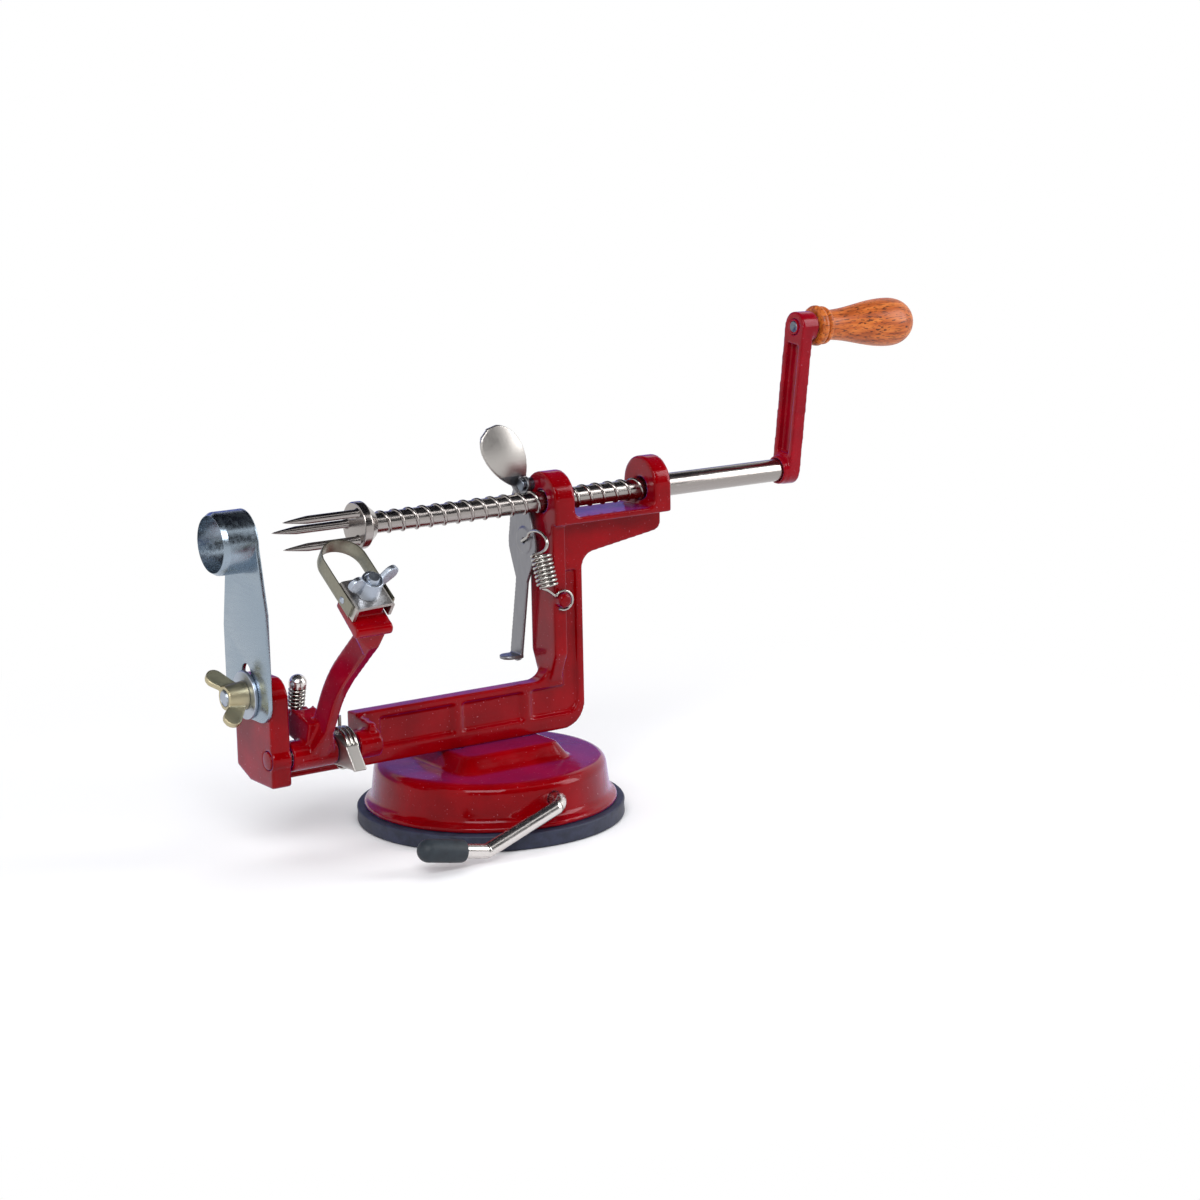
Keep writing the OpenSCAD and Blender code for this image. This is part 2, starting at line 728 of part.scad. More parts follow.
module frame() {
    color(red)
        difference() {
            union() {
                difference() {
                    across_y(web_t)
                        polygon(web_outline());
                    for (s = [-1, 1])
                        translate([0, s * (web_t - panel_d), 0])
                            across_y(web_t)
                                panel_outline();
                }
                for (s = [-1, 1])
                    translate([s * screw_gap / 2, 0, beam_z0])
                        cylinder(h = beam_h - panel_rim, r = web_t / 2);
                along_x(upright_x, upright_x + flange_t)
                    flange_outline();
                across_y(2 * lug_r)
                    polygon(arm_flange_outline());
                along_x(upright_x, front_lug_x1)
                    lug_outline(front_lug_over);
                along_x(rear_lug_x, rear_lug_x1)
                    lug_outline(rear_lug_over);
                along_x(block_x0, block_x1)
                    block_outline();
                translate([block_x1 - 1, -strip_y, beam_z0])
                    cube([bay_l + 7, strip_w, strip_h]);
                bar_x(pin_boss_x0, pin_boss_x1, pin_d / 2 + 1.9, [-pin_y, pin_z]);
                translate([-beam_reach, -pin_y, pin_z - pin_d * 0.6])
                    cube([pin_boss_x1 + beam_reach, pin_y, pin_d * 1.2]);
                along_x(-beam_reach, -beam_reach + ledge_t)
                    ledge_outline();
                bar([peg_x, -flange_w / 2 + 1, peg_z], [peg_x, -flange_w / 2 - peg_l, peg_z], peg_r);
            }
            bar_x(upright_x - 1, rear_lug_x1 + 1, shaft_d / 2 + fit, [0, shaft_z]);
            bar_x(block_x0 - 1, pin_boss_x1 - 1.5, pin_d / 2 + fit, [-pin_y, pin_z]);
            bar_x(block_x0 - 1, block_x1 + 1, bolt_d / 2 + fit, [0, bolt_z]);
            bar_x(upright_x - 1, upright_x + 6, pawl_pin_d / 2, [pawl_y, shaft_z + pawl_z]);
            for (s = [-1, 1])
                translate([s * screw_gap / 2, 0, beam_z0 - 1])
                    cylinder(h = screw_reach + 2, r = screw_d / 2);
        }
}

// Feed shaft, thread and fork

module shaft() {
    color(steel)
        union() {
            bar_x(-fork_x - crown_l + 1, thread_x1, core_d / 2, [0, shaft_z]);
            bar_x(thread_x1, crank_x1 + 0.4, shaft_d / 2, [0, shaft_z]);
        }
}

// Right-handed ridge, turned so that the feed lever stands in the middle of its groove
thread_rings = 16;
function thread_points() =
    let (r0 = (core_d / 2 + fit) / cos(180 / thread_rings), r1 = crest_d / 2,
        turns = (thread_x1 - thread_x0 - thread_root - gap) / pitch, count = floor(turns * thread_rings),
        mid = (pawl_x0 + pawl_x1) / 2 + pitch / 2)
    [for (i = [0 : count])
        let (x = thread_x0 + thread_root / 2 + gap / 2 + pitch * i / thread_rings,
            a = 360 * (x - mid) / pitch,
            ray = [0, cos(a), sin(a)], axis = [x, 0, shaft_z])
        for (c = [[r0, -thread_root / 2], [r1, -thread_crest / 2],
            [r1, thread_crest / 2], [r0, thread_root / 2]])
            axis + c[0] * ray + [c[1], 0, 0]];

module feed_thread() {
    p = thread_points();
    count = len(p) / 4;
    walls = [for (i = [0 : count - 2], k = [0 : 3], half = [0, 1])
        let (a = 4 * i + k, b = 4 * i + (k + 1) % 4) half == 0 ? [a, b, a + 4] : [b, b + 4, a + 4]];
    last = 4 * (count - 1);
    color(steel)
        polyhedron(p, concat(walls, [[0, 2, 1], [0, 3, 2],
            [last, last + 1, last + 2], [last, last + 2, last + 3]]));
}

module fork() {
    x0 = -fork_x - crown_l;
    color(steel)
        translate([x0, 0, shaft_z])
            rotate([0, 90, 0]) {
                difference() {
                    union() {
                        cylinder(h = 3, r = crown_r);
                        translate([0, 0, 3])
                            cylinder(h = crown_l - 3, r1 = crown_r, r2 = crest_d / 2 + 1.2);
                    }
                    translate([0, 0, 1])
                        cylinder(h = crown_l, r = core_d / 2 + fit);
                }
                for (a = [90, 210, 330])
                    rotate([0, 0, a])
                        translate([tine_ring, 0, 0]) {
                            translate([0, 0, 9 - tine_l])
                                cylinder(h = tine_l - 8.5, r = tine_r);
                            translate([0, 0, -tine_l])
                                cylinder(h = 9, r1 = 0.15, r2 = tine_r);
                        }
            }
}

// Crank and handle, drawn upright on the shaft's axis and leant away from the frame

module on_crank() {
    translate([crank_x, 0, shaft_z])
        rotate([crank_rest, 0, 0])
            rotate([0, crank_set, 0])
                translate([-crank_x, 0, 0])
                    children();
}

module crank_arm() {
    r = crank_w / 2;
    rim = 2.4;
    color(red)
        difference() {
            union() {
                on_crank()
                    difference() {
                        union() {
                            along_x(crank_x, crank_x1) {
                                translate([-r, 0])
                                    square([crank_w, crank_l]);
                                circle(r);
                            }
                            bar_x(crank_x, boss_x1, r, [0, crank_l]);
                        }
                        along_x(crank_x - 1, crank_x + channel_d)
                            translate([-r + rim, r + 1])
                                square([crank_w - 2 * rim, crank_l - 2 * r - 2]);
                        bar_x(crank_x - 1, boss_x1 + 1, handle_pin_d / 2, [0, crank_l]);
                    }
                bar_x(crank_x - foot_lip, crank_x + 2, r - 0.2, [0, shaft_z]);
            }
            bar_x(crank_x - foot_lip - 1, crank_x1 + 2, shaft_d / 2 + fit, [0, shaft_z]);
        }
}

module handle_pin() {
    color(zinc)
        on_crank()
            union() {
                bar_x(crank_x - 0.6, boss_x1 + grip_gap + grip_l - 8, handle_pin_d / 2, [0, crank_l]);
                bar_x(boss_x1, boss_x1 + grip_gap - gap, handle_pin_d / 2 + 1.4, [0, crank_l]);
            }
}

// Radius of the grip behind its collar, at a share of that length: neck, belly and round end
function grip_radius(u) =
    u < 0.72 ? neck_r + (grip_r - neck_r) * (1 - cos(180 * u / 0.72)) / 2
    : grip_r * sqrt(max(0, 1 - pow((u - 0.72) / 0.28, 2.4)));

module handle_grip() {
    steps = 24;
    body_l = grip_l - collar_l;
    color(wood)
        on_crank()
            translate([boss_x1 + grip_gap, 0, crank_l])
                rotate([0, 90, 0])
                    difference() {
                        rotate_extrude()
                            polygon(concat([[0, 0]],
                                arc([collar_r - 2, 2], 2, -90, 0, 5),
                                    arc([collar_r - 2, collar_l - 2], 2, 0, 90, 5),
                                [for (i = [0 : steps])
                                    [grip_radius(i / steps), collar_l + body_l * i / steps]]));
                        translate([0, 0, -1])
                            cylinder(h = grip_l - 6, r = handle_pin_d / 2 + fit);
                    }
}

// Feed lever: a plate that drops into the thread from the far side, with a paddle, a tail and a foot

// Outline about the shaft's axis
module pawl_outline() {
    edge = core_d / 2 + gap;
    cut_l = pawl_cut_drop + pawl_z + pawl_eye_r;
    difference() {
        union() {
            link([pawl_y, pawl_z], pawl_mouth, pawl_eye_r, pawl_mouth_r);
            link(pawl_mouth, pawl_belly, pawl_mouth_r, pawl_belly_r);
            link(pawl_belly, pawl_knee, pawl_belly_r, tail_w / 2);
            link(pawl_knee, pawl_foot, tail_w / 2, tail_w / 2);
        }
        translate([edge - pawl_belly_r, -crest_d / 2 - gap])
            square([pawl_belly_r, crest_d + 2 * gap]);
        translate([pawl_cut - pawl_belly_r, -pawl_cut_drop])
            square([pawl_belly_r, cut_l]);
    }
}

// Drop outline of the paddle along X, from its tip at the lever to its round end
function paddle_half(u) = paddle_w / 2 * pow(u / 0.62, 0.75) * pow((1 - u) / 0.38, 0.465);
module paddle_outline() {
    n = 24;
    upper = [for (i = [1 : n - 1]) [paddle_l * (i / n - 0.5), paddle_half(i / n)]];
    polygon(concat([[-paddle_l / 2, 0]], upper, [[paddle_l / 2, 0]], flip([for (p = upper) [p[0], -p[1]]])));
}

module feed_pawl() {
    foot_z = -tail_drop - tail_w / 2 + pawl_t;
    paddle = [pawl_x1 - paddle_back, pawl_y + paddle_out, pawl_z + paddle_up];
    lean = 58;
    neck_l = 3.6;
    color(zinc)
        translate([0, 0, shaft_z])
            difference() {
                union() {
                    along_x(pawl_x0, pawl_x1)
                        pawl_outline();
                    translate([0, pawl_foot[0], foot_z])
                        linear_extrude(pawl_t) {
                            translate([pawl_x1 - foot_l + tail_w / 2, -tail_w / 2])
                                square([foot_l - tail_w / 2, tail_w]);
                            translate([pawl_x1 - foot_l + tail_w / 2, 0])
                                circle(tail_w / 2);
                        }
                    translate(paddle)
                        intersection() {
                            rotate([90, lean, 0])
                                linear_extrude(paddle_dish, center = true)
                                    rotate([0, 0, 180])
                                        paddle_outline();
                            translate([0, paddle_dish - pawl_t, 0])
                                difference() {
                                    sphere(paddle_dish, $fn = 128);
                                    sphere(paddle_dish - pawl_t, $fn = 128);
                                }
                        }
                    hull() {
                        translate([pawl_x0, pawl_y + paddle_out - 1, 0])
                            cube([pawl_t, neck_l, pawl_z - pawl_eye_r]);
                        translate(paddle)
                            rotate([0, lean, 0])
                                translate([paddle_l * 0.36, pawl_t * 0.4, -neck_l])
                                    cube([0.5, pawl_t * 0.8, 2 * neck_l]);
                    }
                    bar_x(pawl_x0 - 0.5, pawl_x1, pawl_mouth_r, hook_hole);
                }
                bar_x(pawl_x0 - 1, pawl_x1 + 1, pawl_pin_d / 2 + fit, [pawl_y, pawl_z]);
                bar_x(pawl_x0 - 1, pawl_x1 + 1, pull_wire / 2 + 0.5, hook_hole);
            }
}

module pawl_pivot() {
    at = [pawl_y, shaft_z + pawl_z];
    color(steel)
        union() {
            bar_x(pawl_x0 - 0.2, upright_x + 5.5, pawl_pin_d / 2, at);
            bar_x(pawl_x1 + 0.1, upright_x, pawl_pin_d / 2 + 0.9, at);
            bar_x(pawl_x0 - 1.6, pawl_x0 - 0.1, pawl_pin_d / 2 + 0.7, at);
        }
}

// Pull spring: a hook through the plate, an oval end loop, close curls and a loop round the frame's peg
module pawl_spring() {
    x = upright_x - pull_r - pull_wire - 2 * gap;
    pull_pitch = pull_wire + 0.45;
    top = [x, -flange_w / 2 + pull_lean, shaft_z - pull_top];
    foot = [x + 2 * gap, -flange_w / 2 - peg_l + 2 * gap, shaft_z - pull_foot];
    axis = unit(foot - top);
    side = unit(cross(axis, [0, 0, 1]));
    across = cross(axis, side);
    hook = [pawl_x1 + gap, hook_hole[0], shaft_z + hook_hole[1]];
    first = top + pull_r * side;
    loop = [for (i = [0 : 10])
        let (u = i / 10, t = 15 + 240 * u, back = max(0, u - 0.6) / 0.4)
        [hook.x - 3.4 * pull_wire + (first.x - hook.x + 3.4 * pull_wire) * back * back,
            top.y + loop_over + loop_a * cos(t), top.z + loop_b + loop_b * sin(t)]];
    curls = [for (i = [1 : pull_curls * curl_rings])
        let (a = 360 * i / curl_rings)
        top + axis * pull_pitch * i / curl_rings + pull_r * (cos(a) * side + sin(a) * across)];
    last = curls[len(curls) - 1];
    ring_r = peg_r + pull_wire / 2 + gap;
    ring = [for (i = [0 : 8])
        let (a = 150 - 270 * i / 8)
        [peg_x + ring_r * cos(a), -flange_w / 2 - peg_l / 2 - 0.5 * cos(a), peg_z + ring_r * sin(a)]];
    path = concat([hook, hook - [1.6 * pull_wire, 0, 0],
        hook - [2.8 * pull_wire, pull_wire / 2, 0]], loop, [first], curls,
        [(last + ring[0]) / 2 + [-0.5, 0, 0.8]], ring);
    echo("pull spring, least gap", self_gap(curls, pull_wire));
    color(steel)
        wire(path, pull_wire / 2, [0, 0, 1]);
}

// Slicing blade and its fastening on the front block

module slicing_blade() {
    foot = shaft_z - slicer_drop;
    shoulder = shaft_z - 24;
    w = slicer_w / 2;
    color(zinc)
        difference() {
            union() {
                along_x(block_x0 - slicer_t, block_x0) {
                    polygon(concat(arc([w - 7, foot + 7], 7, -90, 0), [[w, shoulder - 8], [ring_r, shaft_z],
                        [-ring_r, shaft_z], [-w, shoulder]], arc([-w + 7, foot + 7], 7, 180, 270)));
                    translate([0, shaft_z])
                        circle(ring_r + ring_t);
                }
                bar_x(block_x0 - ring_l, block_x0, ring_r + ring_t, [0, shaft_z]);
            }
            bar_x(block_x0 - ring_l - 1, block_x0 + 1, ring_r, [0, shaft_z]);
            along_x(block_x0 - slicer_t - 1, block_x0 + 1) {
                translate([-bolt_d / 2 - 0.2, bolt_z])
                    square([bolt_d + 0.4, slot_l]);
                translate([0, bolt_z])
                    circle(bolt_d / 2 + 0.2);
                translate([0, bolt_z + slot_l])
                    circle(bolt_d / 2 + 0.2);
            }
        }
}

module blade_bolt() {
    color(zinc)
        union() {
            bar_x(block_x0 - slicer_t - washer_t - nut_h - 1, block_x1 + 0.5, bolt_d / 2, [0, bolt_z]);
            bar_x(block_x1, block_x1 + 2.2, bolt_d * 0.9, [0, bolt_z]);
        }
}

module blade_washer() {
    x1 = block_x0 - slicer_t;
    color(zinc)
        difference() {
            bar_x(x1 - washer_t, x1, washer_r, [0, bolt_z]);
            bar_x(x1 - washer_t - 1, x1 + 1, bolt_d / 2 + 0.2, [0, bolt_z]);
        }
}

module blade_wing_nut() {
    color(zinc)
        translate([block_x0 - slicer_t - washer_t, 0, bolt_z])
            rotate([43, 0, 0])
                rotate([0, -90, 0])
                    rotate([0, 0, 90])
                        wing_nut(bolt_d);
}

// Paring arm and its pivot

module pivot_pin() {
    color(steel)
        bar_x(block_x0 - 0.3, pin_boss_x1 - 1.6, pin_d / 2, [-pin_y, pin_z]);
}

// Middle line of the arm from the pin, in Y and Z about the pin: lower leg, bend, upper leg
function arm_line() =
    let (a = arm_lean, low = arm_low * [-sin(a), cos(a)],
        centre = low + arm_bend_r * [-cos(a), -sin(a)],
        turn = arc(centre, arm_bend_r, a, a + arm_bend, 8), b = a + arm_bend)
    concat([[0, 0]], turn, [turn[len(turn) - 1] + arm_high * [-sin(b), cos(b)]]);
function band_side(line, off) =
    [for (i = [0 : len(line) - 1])
        let (t = unit(line[min(i + 1, len(line) - 1)] - line[max(i - 1, 0)])) line[i] + off * [-t[1], t[0]]];

// Frame of the blade's head: X along the shaft, Y towards the work, Z out of the seat
arm_tip = arm_line()[len(arm_line()) - 1];
head_x = arm_x - 2.4;
seat_top = -bracket_h - gap;
seat_lip = 3;
seat_out = 1.9;
seat_up = 7.3;
neck_drop = 5;
root_w = 10;
root_h = 12;
stop_lug_w = 9;
stop_x = arm_x - 1;
module on_head() {
    translate([head_x, arm_tip[0] - pin_y - seat_out, arm_tip[1] + pin_z + seat_up])
        rotate([head_slant, 0, 0])
            translate([0, -seat_join, seat_t / 2 - seat_top])
                children();
}
// Frame of the stop screw: Z up its axis, with its origin on top of the stop lug
module on_stop() {
    translate([stop_x, lug_reach - pin_y, lug_rise + pin_z])
        rotate([stop_lean, 0, 0])
            children();
}
stop_down = (lug_rise + pin_h - strip_h - stop_gap) / cos(stop_lean);

module paring_arm() {
    line = arm_line();
    color(red)
        difference() {
            union() {
                bar_x(hub_x0, hub_x1, hub_r, [-pin_y, pin_z]);
                translate([0, -pin_y, pin_z])
                    along_x(arm_x - arm_w / 2, arm_x + arm_w / 2)
                        polygon(concat(band_side(line, -arm_t / 2), flip(band_side(line, arm_t / 2))));
                on_head() {
                    translate([-seat_w / 2, -0.8, seat_top - seat_t])
                        cube([seat_w, seat_l + 0.8, seat_t]);
                    translate([-seat_w / 2, -seat_lip, seat_top - seat_t])
                        cube([seat_w, seat_lip, seat_t]);
                    translate([-seat_w / 2, -seat_lip, seat_top - seat_t / 2])
                        rotate([0, 90, 0])
                            cylinder(h = seat_w, r = seat_t * 0.55);
                    translate([-bracket_w / 2 + bracket_t + 1, 1.6, seat_top - 1])
                        cube([bracket_w - 2 * bracket_t - 2, seat_l - 2.2, bracket_h - bracket_t + gap + 1]);
                }
                hull() {
                    translate([arm_x, arm_tip[0] - pin_y, arm_tip[1] + pin_z])
                        rotate([arm_lean + arm_bend, 0, 0])
                            translate([-arm_w / 2, -arm_t / 2, -neck_drop])
                                cube([arm_w, arm_t, neck_drop]);
                    on_head()
                        translate([-seat_w / 2 + 1, -seat_lip, seat_top - seat_t])
                            cube([seat_w - 2, seat_l - 2, seat_t / 2]);
                }
                translate([arm_x, -pin_y, pin_z])
                    rotate([arm_lean, 0, 0])
                        hull() {
                            translate([-arm_w / 2, -arm_t / 2, root_h])
                                cube([arm_w, arm_t, 0.5]);
                            translate([-root_w / 2, -hub_r * 0.8, 0])
                                cube([root_w, hub_r * 1.6, hub_r * 0.6]);
                        }
                translate([0, -pin_y, pin_z])
                    along_x(stop_x - stop_lug_w / 2, stop_x + stop_lug_w / 2)
                        polygon([[-3, 3], [hub_r * 0.57, hub_r * 0.64], [lug_reach + 4, lug_rise - 7.6],
                            [lug_reach + 5, lug_rise - 1.2], [lug_reach - 5, lug_rise + 1.2], [-6, 12]]);
            }
            bar_x(hub_x0 - 1, hub_x1 + 1, pin_d / 2 + fit, [-pin_y, pin_z]);
            on_stop()
                translate([0, 0, -14])
                    cylinder(h = 20, r = stop_d / 2);
            on_stop()
                cylinder(h = 6, r = 6);
            on_head()
                translate([0, stud_at, seat_top - seat_t - 1])
                    cylinder(h = 20, r = stud_d / 2);
        }
}

module arm_spring() {
    torsion_leg = beam_h / 2;
    torsion_pitch = torsion_wire + 0.45;
    x0 = latch_x + latch_t + gap + torsion_wire / 2;
    curls = [for (i = [0 : torsion_curls * curl_rings])
        let (a = 90 + 360 * i / curl_rings)
        [x0 + torsion_pitch * i / curl_rings, torsion_r * cos(a) - pin_y, torsion_r * sin(a) + pin_z]];
    first = curls[0];
    last = curls[len(curls) - 1];
    path = concat([[hub_x1 - 2 * gap, first.y + torsion_wire, first.z],
        first + [-0.8 * torsion_wire, torsion_wire, 0]],
        curls, [last + [0, 0, torsion_leg * 0.4], last + [0, 0, torsion_leg]]);
    echo("arm spring, least gap", self_gap(curls, torsion_wire));
    color(steel)
        wire(path, torsion_wire / 2, [0, 0, 1]);
}

// Latch on the pivot pin: an eye plate beside the arm's hub, with a thumb tab folded over the spring's coil
module arm_latch() {
    eye_r = pin_d / 2 + 1.5;
    tab_z = torsion_r + torsion_wire / 2 + gap;
    tab_y = -latch_tab - 3.4;
    color(steel)
        translate([0, -pin_y, pin_z])
            rotate([latch_rest, 0, 0])
                difference() {
                    union() {
                        bar_x(latch_x, latch_x + latch_w, eye_r, [0, 0]);
                        along_x(latch_x, latch_x + latch_t)
                            hull() {
                                circle(eye_r + 0.7);
                                translate([tab_y + 0.6, tab_z])
                                    square([latch_tab - 1.2, latch_t - 0.3]);
                            }
                        along_x(latch_x, latch_x + latch_w)
                            translate([tab_y, tab_z])
                                square([latch_tab, latch_t]);
                    }
                    bar_x(latch_x - 1, latch_x + latch_w + 1, pin_d / 2 + fit, [0, 0]);
                }
}

module stop_screw() {
    color(steel)
        on_stop()
            union() {
                translate([0, 0, -stop_down])
                    cylinder(h = stop_down + stop_up + 1, r = stop_d / 2);
                translate([0, 0, stop_up])
                    rotate_extrude()
                        polygon(concat([[0, 0], [stop_head_d / 2, 0]],
                            arc([0, 1.2], stop_head_d / 2, 0, 90)));
            }
}

module stop_spring() {
    r = stop_d / 2 + stop_wire / 2 + gap;
    rest = stop_wire / 2 + gap / 2;
    span = stop_up - 2 * rest;
    path = [for (i = [0 : stop_curls * curl_rings])
        let (a = 360 * i / curl_rings)
        [r * cos(a), r * sin(a), rest + span * i / (stop_curls * curl_rings)]];
    ends = concat([path[0] + [0, -stop_wire, 0]], path, [path[len(path) - 1] + [0, stop_wire, 0]]);
    echo("stop spring, least gap", self_gap(path, stop_wire));
    color(steel)
        on_stop()
            wire(ends, stop_wire / 2, [1, 0, 0]);
}

// Blade head: bracket, stirrup blade, rivets, stud and wing nut

module on_blade() {
    on_head()
        translate([0, stud_at, 0])
            rotate([0, 0, head_turn])
                translate([0, -stud_at, 0])
                    children();
}

module blade_bracket() {
    w = bracket_w / 2;
    color(zinc)
        on_blade()
            difference() {
                translate([-w, 0, -bracket_h])
                    cube([bracket_w, bracket_l, bracket_h]);
                translate([-w + bracket_t, -1, -bracket_h - 1])
                    cube([bracket_w - 2 * bracket_t, bracket_l + 2, bracket_h - bracket_t + 1]);
                translate([0, stud_at, -bracket_h])
                    cylinder(h = 2 * bracket_h, r = stud_d / 2 + 0.1);
                rivet_holes();
            }
}

module rivet_holes() {
    for (s = [-1, 1])
        translate([s * bracket_w / 2, rivet_at, -bracket_h / 2])
            rotate([0, 90, 0])
                cylinder(h = 6, r = rivet_d / 2 - 0.5, center = true);
}

module stirrup_outline(r) {
    translate([-r, 2])
        square([2 * r, stirrup_l - 2]);
    translate([0, stirrup_l])
        circle(r);
}

module paring_blade() {
    inner = bracket_w / 2;
    color(steel)
        on_blade()
            difference() {
                translate([0, 0, -bracket_h])
                    linear_extrude(bracket_h)
                        difference() {
                            stirrup_outline(inner + stirrup_t);
                            translate([0, -1])
                                stirrup_outline(inner);
                            translate([-inner, 0])
                                square([2 * inner, stirrup_l]);
                        }
                rivet_holes();
            }
}

module blade_rivets() {
    outside = bracket_w / 2 + stirrup_t;
    inside = bracket_w / 2 - bracket_t;
    color(steel)
        on_blade()
            for (s = [-1, 1])
                translate([0, rivet_at, -bracket_h / 2])
                    rotate([0, s * 90, 0]) {
                        translate([0, 0, inside])
                            cylinder(h = outside - inside, r = rivet_d / 2 - 0.5);
                        translate([0, 0, outside])
                            cylinder(h = 0.6, r = rivet_d / 2);
                    }
}

module head_stud() {
    under = seat_top - seat_t;
    color(zinc)
        on_head()
            translate([0, stud_at, under])
                cylinder(h = nut_h * small_nut + 1.2 - under, r = stud_d / 2);
}

module head_wing_nut() {
    color(zinc)
        on_head()
            translate([0, stud_at, 0])
                rotate([0, 0, 12])
                    wing_nut(stud_d, small_nut);
}

suction_pad();
base_shell();
lift_stud();
suction_lever();
lever_tip();
base_screws();
frame();
shaft();
feed_thread();
fork();
crank_arm();
handle_pin();
handle_grip();
feed_pawl();
pawl_pivot();
pawl_spring();
slicing_blade();
blade_bolt();
blade_washer();
blade_wing_nut();
pivot_pin();
paring_arm();
arm_spring();
arm_latch();
stop_screw();
stop_spring();
blade_bracket();
paring_blade();
blade_rivets();
head_stud();
head_wing_nut();
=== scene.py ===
"""Looks of the hand-cranked peeler on its CAD frame: enamel, plated steel, spring wire, rubber and wood."""
import json
import math

import bmesh
import bpy
from mathutils import Matrix, Vector


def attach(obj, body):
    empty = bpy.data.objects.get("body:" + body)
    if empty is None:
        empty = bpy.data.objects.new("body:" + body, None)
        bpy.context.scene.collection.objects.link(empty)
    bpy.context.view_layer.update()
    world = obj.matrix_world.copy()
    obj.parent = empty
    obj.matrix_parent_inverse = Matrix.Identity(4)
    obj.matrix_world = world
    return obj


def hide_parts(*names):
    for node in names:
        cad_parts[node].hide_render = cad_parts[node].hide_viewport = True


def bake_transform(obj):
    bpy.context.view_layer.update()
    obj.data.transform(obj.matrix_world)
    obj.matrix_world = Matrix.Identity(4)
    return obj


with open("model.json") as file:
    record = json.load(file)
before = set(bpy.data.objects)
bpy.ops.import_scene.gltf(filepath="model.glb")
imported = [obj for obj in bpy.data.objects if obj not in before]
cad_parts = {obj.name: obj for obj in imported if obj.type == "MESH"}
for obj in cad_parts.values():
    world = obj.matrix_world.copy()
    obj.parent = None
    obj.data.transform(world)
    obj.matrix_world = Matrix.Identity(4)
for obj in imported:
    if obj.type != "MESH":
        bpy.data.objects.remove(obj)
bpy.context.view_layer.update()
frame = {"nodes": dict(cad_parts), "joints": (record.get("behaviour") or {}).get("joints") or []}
nodes = frame["nodes"]
scene = bpy.context.scene
MM = 0.001

# Places of the moving axes, from the frame's joints, in millimetres
SPOTS = {joint["name"]: [v / MM for v in joint["pos_m"]] for joint in frame["joints"] if "pos_m" in joint}
SHAFT_Z = SPOTS["crank_turn"][2]
AXLE_Z = SPOTS["suction_lever_turn"][2]
PIN_YZ = SPOTS["paring_arm_swing"][1:]
LEVER_YZ = SPOTS["feed_pawl_release"][1:]

# Sizes that the looks share with the CAD source, in millimetres and degrees
PITCH = 5.8
FORK_X = -54.0
LEVER_X = 22.3
CRANK_X = 138.0
CRANK_L = 56.8
CRANK_TURN = 6.4
CRANK_LEAN = 2.0
GRIP_X = 9.0
HUB_END = -71.8
BLOCK_FRONT = -97.5
BLADE_T = 1.6
BLADE_FRONT = BLOCK_FRONT - BLADE_T
BOLT_Z = 60.9
HEAD_FOOT = (-80.6, -53.247, 95.157)
HEAD_RISE = (0, -3.0, 8.3)
HEAD_SLANT = 38.0
HEAD_TURN = 3.0
STUD_Y = 6.5
BRACKET_W = 7.6
STOP_FOOT = (-79.2, 2.1, 52.7)
STOP_LEAN = 14.0
STOP_H = 8.5

# The suction lever's lower bend, and the way from there to the end of its tip
LOW_BEND = Vector((-34.5, -52.05, AXLE_Z - 11.3))
LEVER_END = Vector((-28.0, 0, 5.4))

# How finely round things are divided, and how near points are merged, in metres
CURL_STEPS = 16
WIRE_SIDES = 14
WELD = 2e-6


# Places: a matrix maps a piece's own axes to the frame, with the piece's axis along its own Z

def at(x, y, z, rx=0.0, ry=0.0, rz=0.0):
    """A place with turns in degrees, about X first and Z last."""
    turn = Matrix.Rotation(math.radians(rz), 4, "Z") @ Matrix.Rotation(math.radians(ry), 4, "Y")
    return Matrix.Translation((x, y, z)) @ turn @ Matrix.Rotation(math.radians(rx), 4, "X")


def along_x(x, y, z):
    """A place where the piece's own Z lies along the shaft."""
    return Matrix.Translation((x, y, z)) @ Matrix(((0, 0, 1, 0), (1, 0, 0, 0), (0, 1, 0, 0), (0, 0, 0, 1)))


CRANK = at(CRANK_X, 0, SHAFT_Z, rx=CRANK_TURN) @ at(0, 0, 0, ry=CRANK_LEAN)
HEAD = at(*HEAD_FOOT, rx=HEAD_SLANT) @ at(*HEAD_RISE)
BRACKET = HEAD @ at(0, STUD_Y, 0, rz=HEAD_TURN) @ at(0, -STUD_Y, 0)
STOP = at(*STOP_FOOT, rx=STOP_LEAN)


# Materials

def lin(code):
    """A hex colour as linear red, green, blue and alpha."""
    parts = [int(code[i:i + 2], 16) / 255 for i in (1, 3, 5)]
    return tuple(c / 12.92 if c <= 0.04045 else ((c + 0.055) / 1.055) ** 2.4 for c in parts) + (1.0,)


def wire_up(tree, node, inputs):
    """Sets a node's inputs: each is a value, or the socket that feeds it."""
    for key, value in inputs.items():
        if isinstance(value, bpy.types.NodeSocket):
            tree.links.new(value, node.inputs[key])
        else:
            node.inputs[key].default_value = value


def add(tree, kind, inputs=None, stops=(), **settings):
    """One node with its settings and links. A ramp's stops are places with hex colours or grey levels."""
    node = tree.nodes.new(kind)
    for key, value in settings.items():
        setattr(node, key, value)
    wire_up(tree, node, inputs or {})
    if stops:
        band = node.color_ramp.elements
        while len(band) < len(stops):
            band.new(0.5)
        for element, (spot, colour) in zip(band, stops):
            element.position = spot
            element.color = lin(colour) if isinstance(colour, str) else (colour, colour, colour, 1.0)
    return node


def new_material(name):
    """A material, its node tree and its one shader."""
    mat = bpy.data.materials.new(name)
    mat.use_nodes = True
    return mat, mat.node_tree, mat.node_tree.nodes["Principled BSDF"]


